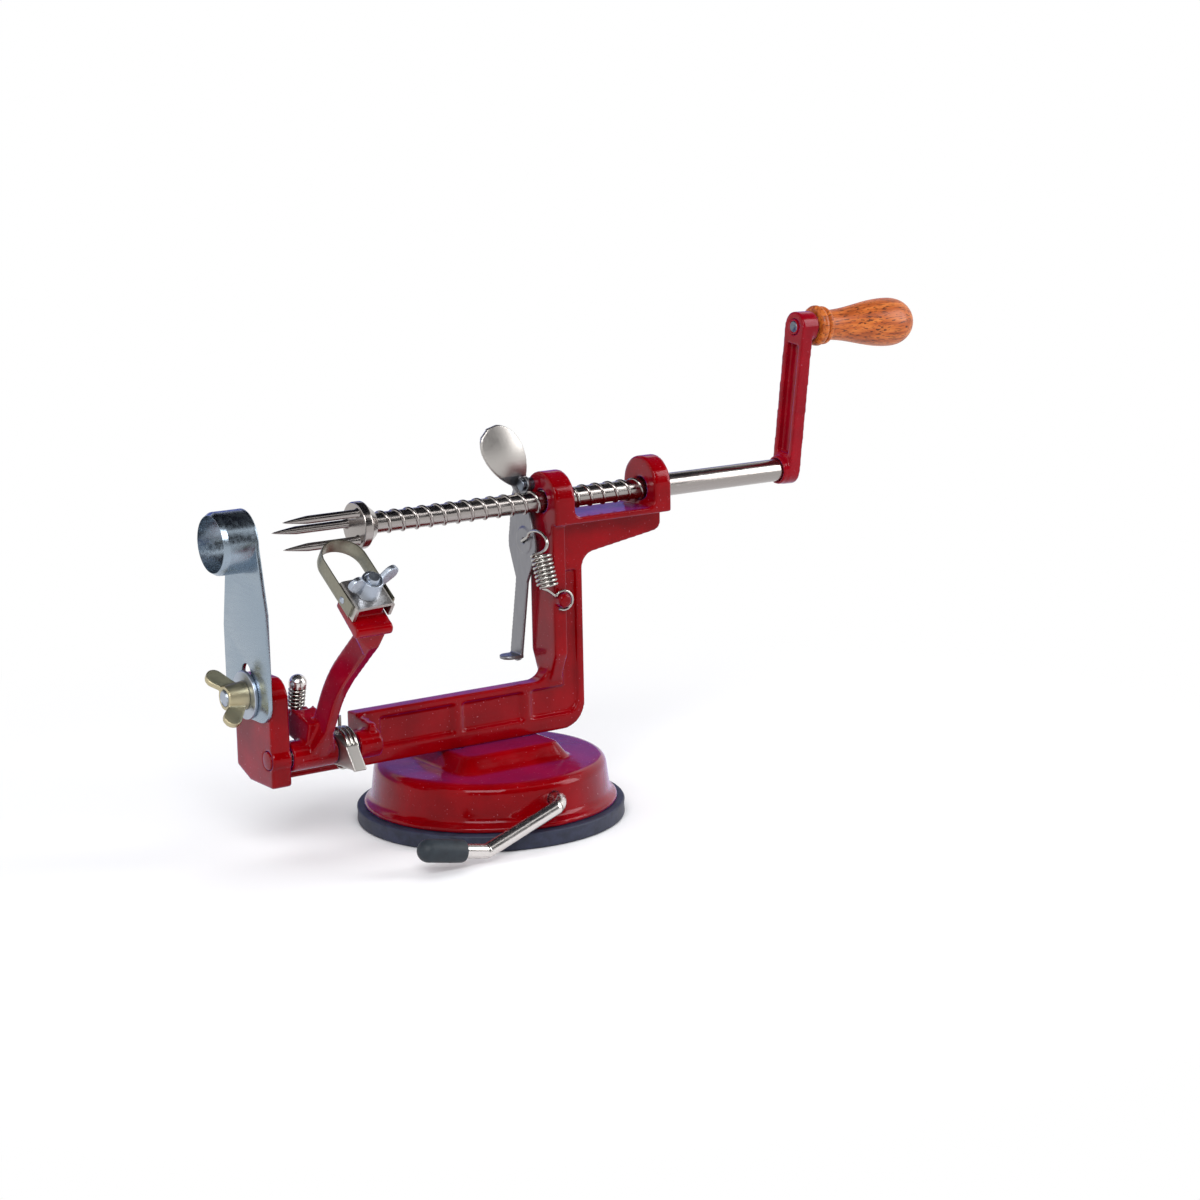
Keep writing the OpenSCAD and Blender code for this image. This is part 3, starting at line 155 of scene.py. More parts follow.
def millimetres(tree, stretch=(1, 1, 1)):
    """Object coordinates in millimetres, drawn out along the axes where a pattern runs long."""
    coords = add(tree, "ShaderNodeTexCoord").outputs["Object"]
    scale = tuple(1 / MM / s for s in stretch)
    return add(tree, "ShaderNodeMapping", {"Vector": coords, "Scale": scale}).outputs["Vector"]


def enamel(name, deep, bright):
    """Stove enamel baked on a rough casting: a wet gloss over mottled red, pale dust specks, a faint
    ripple, and a violet sheen where it is seen edge on."""
    cloud, speck, patch, ripple = 14.0, 0.6, 6.0, 2.6
    mat, tree, shader = new_material(name)
    where = millimetres(tree)
    clouds = add(tree, "ShaderNodeTexNoise", {"Vector": where, "Scale": 1 / cloud, "Detail": 4.0})
    mottle = add(tree, "ShaderNodeValToRGB", {"Fac": clouds.outputs["Fac"]}, [(0.3, deep), (0.72, bright)])
    # Dust under 0.3 mm would not show, so the specks are drawn coarser than real ones
    dust = add(tree, "ShaderNodeTexNoise", {"Vector": where, "Scale": 1 / speck, "Detail": 0.0})
    specks = add(tree, "ShaderNodeValToRGB", {"Fac": dust.outputs["Fac"]}, [(0.795, 0.0), (0.85, 0.5)])
    red = add(tree, "ShaderNodeMix", {"Factor": specks.outputs["Color"], "A": mottle.outputs["Color"],
                                      "B": lin("#B06A78")}, data_type="RGBA")
    patches = add(tree, "ShaderNodeTexNoise", {"Vector": where, "Scale": 1 / patch, "Detail": 3.0})
    gloss = add(tree, "ShaderNodeValToRGB", {"Fac": patches.outputs["Fac"]}, [(0.3, 0.08), (0.75, 0.2)])
    skin = add(tree, "ShaderNodeTexNoise", {"Vector": where, "Scale": 1 / ripple, "Detail": 3.0})
    rippled = add(tree, "ShaderNodeBump", {"Height": skin.outputs["Fac"], "Strength": 0.2,
                                           "Distance": 0.2 * MM})
    wire_up(tree, shader, {"Base Color": red.outputs["Result"], "Roughness": gloss.outputs["Color"],
                           "Normal": rippled.outputs["Normal"], "Specular IOR Level": 0.24,
                           "Specular Tint": lin("#B4A4B4"), "Coat Weight": 0.1, "Coat Roughness": 0.05,
                           "Sheen Weight": 0.5, "Sheen Roughness": 0.3, "Sheen Tint": lin("#6C5CE8")})
    return mat


def metal(name, colour, smooth, rough, streak=(1, 1, 1), size=3.0):
    """Bare or plated metal: one colour, with a shine that wanders in patches of that size along the grain.
    Real grinding and drawing marks are finer than the picture shows, so the patches are drawn coarser."""
    mat, tree, shader = new_material(name)
    where = millimetres(tree, streak)
    wander = add(tree, "ShaderNodeTexNoise", {"Vector": where, "Scale": 1 / size, "Detail": 4.0})
    gloss = add(tree, "ShaderNodeValToRGB", {"Fac": wander.outputs["Fac"]}, [(0.3, smooth), (0.7, rough)])
    grain = add(tree, "ShaderNodeTexNoise", {"Vector": where, "Scale": 1 / (size * 0.4), "Detail": 2.0})
    marked = add(tree, "ShaderNodeBump", {"Height": grain.outputs["Fac"], "Strength": 0.06,
                                          "Distance": 0.05 * MM})
    wire_up(tree, shader, {"Base Color": lin(colour), "Metallic": 1.0, "Roughness": gloss.outputs["Color"],
                           "Normal": marked.outputs["Normal"]})
    return mat


def soft_black(name, colour, dust):
    """Moulded rubber or dipped vinyl: nearly matt and dark, with paler handling dust."""
    smear, pebble = 5.0, 0.7
    mat, tree, shader = new_material(name)
    where = millimetres(tree)
    smears = add(tree, "ShaderNodeTexNoise", {"Vector": where, "Scale": 1 / smear, "Detail": 6.0,
                                              "Roughness": 0.7})
    dusty = add(tree, "ShaderNodeValToRGB", {"Fac": smears.outputs["Fac"]}, [(0.35, colour), (0.8, dust)])
    pebbles = add(tree, "ShaderNodeTexNoise", {"Vector": where, "Scale": 1 / pebble, "Detail": 2.0})
    uneven = add(tree, "ShaderNodeBump", {"Height": pebbles.outputs["Fac"], "Strength": 0.25,
                                          "Distance": 0.08 * MM})
    wire_up(tree, shader, {"Base Color": dusty.outputs["Color"], "Roughness": 0.55,
                           "Specular IOR Level": 0.35, "Normal": uneven.outputs["Normal"]})
    return mat


def turned_wood(name):
    """Hardwood, turned, stained and lacquered: long orange and brown grain with short dark pores."""
    figure, pore = 2.2, 0.42
    mat, tree, shader = new_material(name)
    long_way = millimetres(tree, (14.0, 1.0, 1.0))
    bands = add(tree, "ShaderNodeTexNoise", {"Vector": long_way, "Scale": 1 / figure, "Detail": 6.0,
                                             "Roughness": 0.62})
    grain = add(tree, "ShaderNodeValToRGB", {"Fac": bands.outputs["Fac"]},
                [(0.28, "#7A340E"), (0.46, "#A8501A"), (0.62, "#C46C2C"), (0.8, "#D68442")])
    # Pores are about 0.2 mm wide, and are drawn at twice that so that they show
    short_way = millimetres(tree, (9.0, 1.0, 1.0))
    dots = add(tree, "ShaderNodeTexNoise", {"Vector": short_way, "Scale": 1 / pore, "Detail": 1.0})
    pores = add(tree, "ShaderNodeValToRGB", {"Fac": dots.outputs["Fac"]}, [(0.6, 0.0), (0.63, 0.85)])
    brown = add(tree, "ShaderNodeMix", {"Factor": pores.outputs["Color"], "A": grain.outputs["Color"],
                                        "B": lin("#32120A")}, data_type="RGBA")
    sunk = add(tree, "ShaderNodeBump", {"Height": pores.outputs["Color"], "Strength": -0.25,
                                        "Distance": 0.12 * MM})
    wire_up(tree, shader, {"Base Color": brown.outputs["Result"], "Roughness": 0.4, "Specular IOR Level": 0.3,
                           "Coat Weight": 0.1, "Coat Roughness": 0.15, "Normal": sunk.outputs["Normal"]})
    return mat


# Deep blood red
RED = enamel("Deep red stove enamel", "#6E0002", "#8A0005")
# The crank is a shade cooler than the frame
CRANK_RED = enamel("Crimson stove enamel", "#74020E", "#920414")
# Polished along the shaft, so bright and dark streaks run its whole length
NICKEL = metal("Bright nickel plate", "#9E9895", 0.14, 0.28, (9, 1, 1), 0.7)
# Paler and softer, on small parts that catch the light
SATIN = metal("Satin nickel plate", "#D8D3D0", 0.2, 0.3, (4, 1, 1), 1.2)
# Tumbled hardware with a cold, cloudy shine
ZINC = metal("Bluish zinc plate", "#A8B0BC", 0.3, 0.44, (1, 1, 1), 4.0)
# The same with a straw tint
BRASSY = metal("Yellow-passivated zinc", "#B9AF90", 0.34, 0.48, (1, 1, 1), 4.0)
# Rubbed smooth and dark
DULL = metal("Dull burnished steel", "#6E747E", 0.26, 0.4)
# Rolled sheet with an upright grain, grey and even
PRESSED = metal("Satin pressed steel", "#86868A", 0.3, 0.46, (1, 1, 4), 1.2)
# Sheet with a soft, pale shine
BRIGHT = metal("Bright pressed steel", "#B6B2AE", 0.34, 0.4, (1, 1, 3), 0.8)
# Ground across, with a blue cast
GROUND = metal("Ground blade steel", "#93A1AE", 0.2, 0.34, (1, 6, 1), 1.4)
# Tempered to a greenish grey
OLIVE = metal("Hardened strip steel", "#8C897B", 0.32, 0.5, (1, 1, 3), 0.9)
# Drawn smooth, with a small sharp highlight on every turn
WIRE = metal("Drawn spring wire", "#ACA9A4", 0.16, 0.28)
# Blue-black with a dusty bloom
RUBBER = soft_black("Dark suction rubber", "#1E2230", "#343850")
# Evenly dark, with hardly any dust
VINYL = soft_black("Dipped vinyl", "#1F252B", "#2C353D")
# Warm orange brown with a thin shine
WOOD = turned_wood("Stained lacquered hardwood")


# Building pieces

def shade(obj, angle=35.0):
    """Smooth shading with hard edges where faces meet more sharply than the angle."""
    obj.data.shade_smooth()
    obj.data.set_sharp_from_angle(angle=math.radians(angle))


def new_piece(name, verts, faces, mat):
    """A mesh piece from points in millimetres in the frame."""
    mesh = bpy.data.meshes.new(name)
    mesh.from_pydata([Vector(v) * MM for v in verts], [], faces)
    bm = bmesh.new()
    bm.from_mesh(mesh)
    bmesh.ops.remove_doubles(bm, verts=bm.verts, dist=1e-7)
    bmesh.ops.recalc_face_normals(bm, faces=bm.faces)
    bm.to_mesh(mesh)
    bm.free()
    mesh.materials.append(mat)
    obj = bpy.data.objects.new(name, mesh)
    scene.collection.objects.link(obj)
    shade(obj)
    return obj


def bake(obj):
    """The piece with its modifiers worked in, as a plain mesh."""
    graph = bpy.context.evaluated_depsgraph_get()
    mesh = bpy.data.meshes.new_from_object(obj.evaluated_get(graph))
    obj.modifiers.clear()
    old, obj.data = obj.data, mesh
    bpy.data.meshes.remove(old)


def join(name, parts):
    """Several pieces as one, with their own materials kept."""
    first = parts[0]
    with bpy.context.temp_override(active_object=first, object=first, selected_objects=parts,
                                   selected_editable_objects=parts):
        bpy.ops.object.join()
    first.name = name
    first.data.name = name
    return first


def stands_for(obj, body, node):
    """The piece rides a body in place of a CAD node."""
    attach(obj, body)
    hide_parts(node)


def cast(name, node, mat, grain, rounds):
    """A copy of a CAD node on an even skin, with its edges rounded as a mould or a tumbler leaves them."""
    obj = bpy.data.objects.new(name, nodes[node].data.copy())
    scene.collection.objects.link(obj)
    bm = bmesh.new()
    bm.from_mesh(obj.data)
    bmesh.ops.remove_doubles(bm, verts=bm.verts, dist=WELD)
    bm.to_mesh(obj.data)
    bm.free()
    mesher = obj.modifiers.new("Even skin", "REMESH")
    mesher.mode = "VOXEL"
    mesher.voxel_size = grain * MM
    mesher.use_smooth_shade = True
    softer = obj.modifiers.new("Rounded edges", "SMOOTH")
    softer.factor = 0.5
    softer.iterations = rounds
    bake(obj)
    obj.data.materials.clear()
    obj.data.materials.append(mat)
    obj.data.shade_smooth()
    return obj


def arc(cx, cy, r, a0, a1, n=6):
    """Points on an arc from one angle to another, in degrees."""
    angles = [math.radians(a0 + (a1 - a0) * i / n) for i in range(n + 1)]
    return [(cx + r * math.cos(a), cy + r * math.sin(a)) for a in angles]


def lathe(name, profile, place, mat, segments=72):
    """A turned piece: (radius, height) points round its own Z. A profile that closes on itself is a ring."""
    verts, faces = [], []
    last = len(profile) - 1
    for r, h in profile:
        for k in range(segments):
            a = 2 * math.pi * k / segments
            verts.append(place @ Vector((r * math.cos(a), r * math.sin(a), h)))
    for i in range(last):
        for k in range(segments):
            a, b = i * segments + k, i * segments + (k + 1) % segments
            faces.append((a, b, b + segments, a + segments))
    for i, flip in ((0, True), (last, False)):
        if profile[i][0] > 1e-6 and profile[0] != profile[-1]:
            ring = [i * segments + k for k in range(segments)]
            faces.append(ring[::-1] if flip else ring)
    return new_piece(name, verts, faces, mat)


def rod_profile(r, h0, h1, edge):
    """A bar with rounded rims at both ends."""
    rims = arc(r - edge, h0 + edge, edge, -90, 0, 4) + arc(r - edge, h1 - edge, edge, 0, 90, 4)
    return [(0, h0)] + rims + [(0, h1)]


def ring_profile(inner, outer, h0, h1, edge):
    """A washer, closed on itself."""
    pts = arc(outer - edge, h0 + edge, edge, -90, 0, 4) + arc(outer - edge, h1 - edge, edge, 0, 90, 4)
    pts += arc(inner + edge, h1 - edge, edge, 90, 180, 4) + arc(inner + edge, h0 + edge, edge, 180, 270, 4)
    return pts + [pts[0]]


def plate(name, loops, place, thick, mat, edge):
    """A stamped plate: outlines in its own X and Y, rounded along every edge, raised from its middle."""
    curve = bpy.data.curves.new(name, "CURVE")
    curve.dimensions = "2D"
    curve.fill_mode = "BOTH"
    for loop in loops:
        spline = curve.splines.new("POLY")
        spline.points.add(len(loop) - 1)
        for point, (x, y) in zip(spline.points, loop):
            point.co = (x, y, 0, 1)
        spline.use_cyclic_u = True
    curve.extrude = thick / 2 - edge
    curve.bevel_depth = edge
    curve.bevel_resolution = 2
    curve.offset = -edge
    shape = bpy.data.objects.new(name, curve)
    scene.collection.objects.link(shape)
    graph = bpy.context.evaluated_depsgraph_get()
    mesh = bpy.data.meshes.new_from_object(shape.evaluated_get(graph))
    verts = [place @ v.co for v in mesh.vertices]
    faces = [tuple(p.vertices) for p in mesh.polygons]
    bpy.data.objects.remove(shape)
    bpy.data.curves.remove(curve)
    bpy.data.meshes.remove(mesh)
    return new_piece(name, verts, faces, mat)


def section_sweep(name, rows, mat, caps=True):
    """A skin over rows of points; each row is one closed section."""
    n = len(rows[0])
    last = (len(rows) - 1) * n
    verts = [p for row in rows for p in row]
    faces = []
    for i in range(0, last, n):
        for k in range(n):
            a, b = i + k, i + (k + 1) % n
            faces.append((a, b, b + n, a + n))
    if caps:
        faces += [tuple(range(n))[::-1], tuple(range(last, last + n))]
    return new_piece(name, verts, faces, mat)


# Geometry Nodes: round wire along a path, and a shape repeated along a line

def node_group(name, sizes):
    """A tree with geometry in and out: the tree, its named sizes' identifiers and its input sockets."""
    group = bpy.data.node_groups.new(name, "GeometryNodeTree")
    face = group.interface
    face.new_socket("Geometry", in_out="INPUT", socket_type="NodeSocketGeometry")
    ids = {}
    for size, kind in sizes.items():
        ids[size] = face.new_socket(size, in_out="INPUT", socket_type=kind).identifier
    face.new_socket("Geometry", in_out="OUTPUT", socket_type="NodeSocketGeometry")
    return group, ids, add(group, "NodeGroupInput").outputs


def wire_group():
    """Smooth round wire along the edges it is given."""
    sizes = {"Radius": "NodeSocketFloat", "Step": "NodeSocketFloat", "Finish": "NodeSocketMaterial"}
    group, ids, given = node_group("Round wire along a path", sizes)
    path = add(group, "GeometryNodeMeshToCurve", {"Mesh": given["Geometry"]})
    curve = add(group, "GeometryNodeCurveSplineType", {"Curve": path.outputs["Curve"]},
                spline_type="CATMULL_ROM")
    even = add(group, "GeometryNodeResampleCurve", {"Curve": curve.outputs["Curve"], "Length": given["Step"]},
               mode="LENGTH")
    ring = add(group, "GeometryNodeCurvePrimitiveCircle", {"Resolution": WIRE_SIDES,
                                                           "Radius": given["Radius"]})
    skin = add(group, "GeometryNodeCurveToMesh", {"Curve": even.outputs["Curve"],
                                                  "Profile Curve": ring.outputs["Curve"], "Fill Caps": True})
    smooth = add(group, "GeometryNodeSetShadeSmooth", {"Geometry": skin.outputs["Mesh"]})
    real = add(group, "GeometryNodeRealizeInstances", {"Geometry": smooth.outputs["Geometry"]})
    done = add(group, "GeometryNodeSetMaterial", {"Geometry": real.outputs["Geometry"],
                                                  "Material": given["Finish"]})
    add(group, "NodeGroupOutput", {"Geometry": done.outputs["Geometry"]})
    return group, ids


def repeat_group():
    """Copies of a shape, each an offset from the last, merged where they meet."""
    sizes = {"Count": "NodeSocketInt", "Offset": "NodeSocketVector", "Finish": "NodeSocketMaterial"}
    group, ids, given = node_group("Shape repeated along a line", sizes)
    line = add(group, "GeometryNodeMeshLine", {"Count": given["Count"], "Offset": given["Offset"]},
               mode="OFFSET")
    copies = add(group, "GeometryNodeInstanceOnPoints", {"Points": line.outputs["Mesh"],
                                                         "Instance": given["Geometry"]})
    real = add(group, "GeometryNodeRealizeInstances", {"Geometry": copies.outputs["Instances"]})
    merged = add(group, "GeometryNodeMergeByDistance", {"Geometry": real.outputs["Geometry"],
                                                        "Distance": WELD})
    done = add(group, "GeometryNodeSetMaterial", {"Geometry": merged.outputs["Geometry"],
                                                  "Material": given["Finish"]})
    add(group, "NodeGroupOutput", {"Geometry": done.outputs["Geometry"]})
    return group, ids


WIRE_GROUP, WIRE_IDS = wire_group()
REPEAT_GROUP, REPEAT_IDS = repeat_group()


def grow(obj, group, ids, values):
    """Runs a node group on a piece and keeps the result as its mesh."""
    mod = obj.modifiers.new(group.name, "NODES")
    mod.node_group = group
    for key, value in values.items():
        mod[ids[key]] = value
    obj.update_tag()
    bpy.context.view_layer.update()
    bake(obj)
    shade(obj, 40.0)
    return obj


def wire(name, path, radius, mat, step=0.35):
    """Round wire through points in millimetres."""
    mesh = bpy.data.meshes.new(name)
    mesh.from_pydata([Vector(p) * MM for p in path], [(i, i + 1) for i in range(len(path) - 1)], [])
    obj = bpy.data.objects.new(name, mesh)
    scene.collection.objects.link(obj)
    return grow(obj, WIRE_GROUP, WIRE_IDS, {"Radius": radius * MM, "Step": step * MM, "Finish": mat})


def repeated(obj, count, offset, mat):
    """A piece repeated along a line, an offset in millimetres apart."""
    return grow(obj, REPEAT_GROUP, REPEAT_IDS, {"Count": count, "Offset": Vector(offset) * MM, "Finish": mat})


def screw_thread(name, r, place, length, mat, pitch=0.9):
    """Fine screw thread as close ridges round a bolt, from its place along its axis."""
    depth = 0.28
    root = r - depth
    profile = [(root, 0), (r, pitch * 0.4), (r, pitch * 0.6), (root, pitch)]
    ridge = lathe(name, profile, place, mat, segments=40)
    axis = place.to_3x3() @ Vector((0, 0, 1))
    return repeated(ridge, max(1, int(length / pitch)), axis * pitch, mat)


def round_bends(points, radius, n=7):
    """A path with its corners turned to arcs, each within its share of the straights beside it."""
    share = 0.48
    pts = [Vector(p) for p in points]
    out = [pts[0]]
    for a, b, c in zip(pts, pts[1:], pts[2:]):
        u, v = (a - b).normalized(), (c - b).normalized()
        half = u.angle(v) / 2
        reach = min(radius / math.tan(half), (a - b).length * share, (c - b).length * share)
        r = reach * math.tan(half)
        centre = b + (u + v).normalized() * (r / math.sin(half))
        p, q = b + u * reach - centre, b + v * reach - centre
        turn = p.angle(q)
        for i in range(n + 1):
            t = i / n
            out.append(centre + (p * math.sin((1 - t) * turn) + q * math.sin(t * turn)) / math.sin(turn))
    return out + [pts[-1]]


# Suction base

def suction_pad():
    """A rubber cup with a rolled rim."""
    hollow, seat, top = 1.8, 4.8, 5.98
    cup_r, foot_r, rim_r = 38.0, 45.0, 49.1
    pad = [(0, hollow), (cup_r, hollow), (cup_r + 3.5, 1.2), (foot_r - 1, 0.05), (foot_r, 0)]
    pad += [(rim_r - 0.2, 0)]
    pad += arc(rim_r, 0.8, 0.8, -80, 0, 5) + [(rim_r + 0.62, 3.0), (rim_r + 0.68, 4.2)]
    pad += arc(rim_r + 0.1, top - 0.78, 0.75, 10, 90, 5)
    pad += [(rim_r - 0.9, top), (cup_r + 2, top), (cup_r + 0.8, seat), (0, seat)]
    stands_for(lathe("Suction_pad", pad, at(0, 0, 0), RUBBER, segments=144), "base", "suction_pad")


def base_shell():
    shell = cast("Base_shell", "base_shell", RED, grain=0.62, rounds=9)
    stands_for(shell, "base", "base_shell")


def suction_lever():
    """A bent rod: its axle with the eccentric in the middle, then down to the low bend and out to the tip."""
    rod_r, bend_r, far_end, near_end = 2.63, 5.5, 36.8, -50.05
    eccentric_z, eccentric_y, step_y = AXLE_Z - 2.0, 4.4, 4.8
    axle = [(0, far_end, AXLE_Z), (0, step_y, AXLE_Z), (0, eccentric_y, eccentric_z)]
    axle += [(0, -eccentric_y, eccentric_z), (0, -step_y, AXLE_Z), (0, near_end, AXLE_Z)]
    arm = [LOW_BEND, LOW_BEND + Vector((-23.7, 0, 4.55))]
    rod = wire("Suction_lever_rod", round_bends(axle + arm, bend_r), rod_r, SATIN, step=0.8)
    stands_for(rod, "suction_lever", "suction_lever")


def lever_tip():
    """A dipped sleeve with a rolled mouth and a domed end."""
    length, mouth_r, dome_r, dome_h = 18.7, 2.66, 4.14, 14.4
    way = LEVER_END.normalized()
    start = LOW_BEND + LEVER_END - way * length
    place = Matrix.Translation(start) @ way.to_track_quat("Z", "Y").to_matrix().to_4x4()
    sleeve = [(mouth_r, 0.5)] + arc(3.6, 0.7, 0.55, 180, 300, 5)
    sleeve += [(dome_r - 0.02, 1.2), (dome_r + 0.04, 6), (dome_r + 0.02, dome_h)]
    sleeve += arc(0, dome_h, dome_r, 4, 90, 10)
    stands_for(lathe("Lever_tip", sleeve, place, VINYL, segments=48), "suction_lever", "lever_tip")


# Castings, each with the grain of its skin in millimetres

def castings():
    softening = 7
    for name, node, mat, grain, body in (("Frame_casting", "frame", RED, 0.55, "base"),
                                         ("Paring_arm", "paring_arm", RED, 0.42, "paring_arm"),
                                         ("Crank_arm", "crank_arm", CRANK_RED, 0.4, "spindle")):
        stands_for(cast(name, node, mat, grain, softening), body, node)


# Feed shaft, thread and fork

def feed_shaft():
    """A rod that is thinner under the thread and full behind it."""
    core_r, full_r = 3.72, 4.38
    start, shoulder, end = -53.0, 76.8, 143.55
    rod = [(0, start), (core_r - 0.32, start), (core_r, start + 0.3), (core_r, shoulder)]
    rod += [(full_r, shoulder + 0.6), (full_r, end - 0.75)]
    rod += arc(full_r - 0.48, end - 0.45, 0.45, 0, 90, 4) + [(0, end)]
    shaft = lathe("Feed_shaft", rod, along_x(0, 0, SHAFT_Z), NICKEL, segments=96)
    stands_for(shaft, "shaft", "shaft")


def feed_thread():
    """One turn of a low rounded ridge, repeated so that the feed lever's plate lies between two turns."""
    start, steps, turns = -45.6, 48, 21
    flank = [(3.6, 0.78), (3.98, 0.6), (4.2, 0.42), (4.3, 0.16)]
    ridge = [(r, -half) for r, half in flank] + flank[::-1]
    rows = []
    for i in range(steps + 1):
        x = start + PITCH * i / steps
        a = 2 * math.pi * (x - LEVER_X - PITCH / 2) / PITCH
        rows.append([(x + dx, r * math.cos(a), SHAFT_Z + r * math.sin(a)) for r, dx in ridge])
    turn = section_sweep("Feed_thread", rows, NICKEL, caps=False)
    stands_for(repeated(turn, turns, (PITCH, 0, 0), NICKEL), "spindle", "feed_thread")


def fork():
    """A stepped crown with three ground tines."""
    rim_r, bore_r, depth, tines, ring_r = 8.6, 3.66, 7.0, 3, 5.6
    crown = [(0, -0.02)] + arc(rim_r - 0.6, 0.6, 0.6, -90, 0, 4) + [(rim_r, 2.4)]
    crown += arc(rim_r - 0.7, 2.9, 0.7, 0, 60, 4) + [(6.6, 5.2), (5.7, 6.4)]
    crown += arc(5.0, depth - 0.5, 0.5, 20, 90, 4) + [(bore_r, depth), (bore_r, 1.2), (0, 1.2)]
    parts = [lathe("Fork_crown", crown, along_x(FORK_X, 0, SHAFT_Z), NICKEL, segments=72)]
    length, tine_r, root_r, point_l, steps = 30.0, 1.5, 2.0, 9.5, 8
    tine = [(0, -length)]
    for k in range(steps + 1):
        tine.append((0.12 + 1.36 * (k / steps) ** 0.8, 0.2 - length + point_l * k / steps))
    tine += [(tine_r, -18), (tine_r, -0.8), (root_r, 0), (root_r, 0.4), (0, 0.4)]
    for k in range(tines):
        a = math.radians(90 + 360 / tines * k)
        place = along_x(FORK_X, ring_r * math.sin(a), SHAFT_Z - ring_r * math.cos(a))
        parts.append(lathe("Fork_tine", tine, place, NICKEL, segments=24))
    stands_for(join("Fork", parts), "spindle", "fork")


# Crank handle

def handle_grip():
    """A collar of two beads, a slim neck and a full rounded belly, a hair slimmer than the CAD solid."""
    length, collar, belly, neck, widest, steps = 48.7, 6.4, 9.55, 5.85, 0.72, 60
    slimmer = 7.88 / 7.9
    turned = [(3.1, 0.0)] + arc(6.2, 1.7, 1.7, -90, 60, 6) + [(6.9, 3.3), (6.6, 3.5)]
    turned += arc(6.1, 4.6, 1.35, -30, 65, 6) + [(5.5, 6.15)]
    for i in range(steps + 1):
        u = i / steps
        if u < widest:
            r = neck + (belly - neck) * (1 - math.cos(math.pi * u / widest)) / 2
        else:
            r = belly * math.sqrt(max(0.0, 1 - ((u - widest) / (1 - widest)) ** 2.4))
        turned.append((r, collar + (length - collar) * u))
    profile = [(r * slimmer, h) for r, h in turned]
    grip = lathe("Handle_grip", profile, CRANK @ along_x(GRIP_X, 0, CRANK_L), WOOD, segments=96)
    stands_for(grip, "grip", "handle_grip")


def handle_rivet():
    """A pin with a dimpled end in a painted rim, and a washer under the handle."""
    end_r, rim_r, pin_r, washer_r, tip = 2.2, 2.0, 2.98, 4.35, 49.7
    pin = [(0, 0.3), (0.7, 0.1), (1.5, -0.38), (1.95, -0.5), (end_r, -0.3), (end_r, 8.0)]
    pin += [(washer_r, 8.05), (washer_r, 8.65), (pin_r, 8.68), (pin_r, tip - 0.2), (0, tip)]
    rim = [(rim_r, 0.4), (2.15, -0.25), (2.5, -0.5), (2.85, -0.4), (pin_r, 0.1), (pin_r, 7.9), (rim_r, 7.9)]
    place = CRANK @ along_x(0, 0, CRANK_L)
    parts = [lathe("Handle_rivet_end", pin, place, DULL, segments=48),
             lathe("Handle_rivet_rim", rim + rim[:1], place, CRANK_RED, segments=48)]
    stands_for(join("Handle_rivet", parts), "spindle", "handle_pin")


# Feed lever

def feed_lever():
    """Grey sheet with a thumb paddle in paler steel: partly its own brighter steel, partly painted light
    where the paddle leans back into the light.
    """
    paddle_z = SHAFT_Z + 9.0
    lever = cast("Feed_lever", "feed_pawl", PRESSED, grain=0.3, rounds=5)
    lever.data.materials.append(BRIGHT)
    # Faces above the paddle's height take the paler steel, partly as painted light on the paddle that leans
    # back into the light
    for face in lever.data.polygons:
        face.material_index = int(face.center.z > paddle_z * MM)
    stands_for(lever, "feed_pawl", "feed_pawl")


def feed_lever_pivot():
    """A screw through the lever with a spacer against the upright."""
    head_r, shank_r, spacer_r, edge = 2.3, 1.58, 2.48, 0.6
    head, lever_front, lever_back, upright, tip = 20.0, 21.5, 23.1, 25.0, 30.5
    screw = [(0, head)] + arc(head_r - edge, head + edge, edge, -90, 0, 5)
    screw += [(head_r, lever_front - 0.02), (shank_r, lever_front), (shank_r, lever_back)]
    screw += [(spacer_r, lever_back + 0.02), (spacer_r, upright), (shank_r, upright)]
    screw += [(shank_r, tip - 0.1), (0, tip)]
    pivot = lathe("Feed_lever_pivot", screw, along_x(0, *LEVER_YZ), DULL, segments=40)
    stands_for(pivot, "base", "pawl_pivot")


def feed_lever_spring():
    """Hook through the lever, oval end loop, eight close curls, and a loop round the peg."""
    wire_d, curl_r, curls, gap = 1.1, 3.5, 8, 0.45
    hook, top, foot = Vector((23.3, 6.2, 100.5)), Vector((19.8, -7.6, 97.5)), Vector((20.4, -11.45, 84.7))
    axis = (foot - top).normalized()
    side = axis.cross(Vector((0, 0, 1))).normalized()
    across = axis.cross(side)
    turns = []
    for i in range(curls * CURL_STEPS + 1):
        a = 2 * math.pi * i / CURL_STEPS
        down = axis * (wire_d + gap) * i / CURL_STEPS
        turns.append(top + down + curl_r * (math.cos(a) * side + math.sin(a) * across))
    half_w, half_h, loop_from, loop_sweep, straight = 6.8, 4.2, 15, 240, 0.6
    middle = Vector((hook.x - 3.4 * wire_d, top.y + 1.7, top.z + half_h))
    loop = []
    for i in range(CURL_STEPS):
        u = i / (CURL_STEPS - 1)
        a = math.radians(loop_from + loop_sweep * u)
        back = max(0.0, u - straight) / (1 - straight)
        inward = (turns[0].x - middle.x) * back * back
        loop.append(middle + Vector((inward, half_w * math.cos(a), half_h * math.sin(a))))
    peg = Vector((27.75, -10.15, SHAFT_Z - 36.2))
    peg_r, play, eye_from, eye_sweep, eye_steps = 2.7, 0.3, 150, 270, 14
    eye_r = peg_r + wire_d / 2 + play
    eye = []
    for i in range(eye_steps + 1):
        a = math.radians(eye_from - eye_sweep * i / eye_steps)
        eye.append(peg + Vector((eye_r * math.cos(a), -0.5 * math.cos(a), eye_r * math.sin(a))))
    entry = [hook, hook - Vector((1.76, 0, 0)), hook - Vector((3.08, 0.55, 0))]
    bridge = (turns[-1] + eye[0]) / 2 + Vector((-0.5, 0, 0.8))
    spring = wire("Feed_lever_spring", entry + loop + turns + [bridge] + eye, wire_d / 2, WIRE)
    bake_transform(spring)
    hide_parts("pawl_spring")


# Slicing blade and its fastening

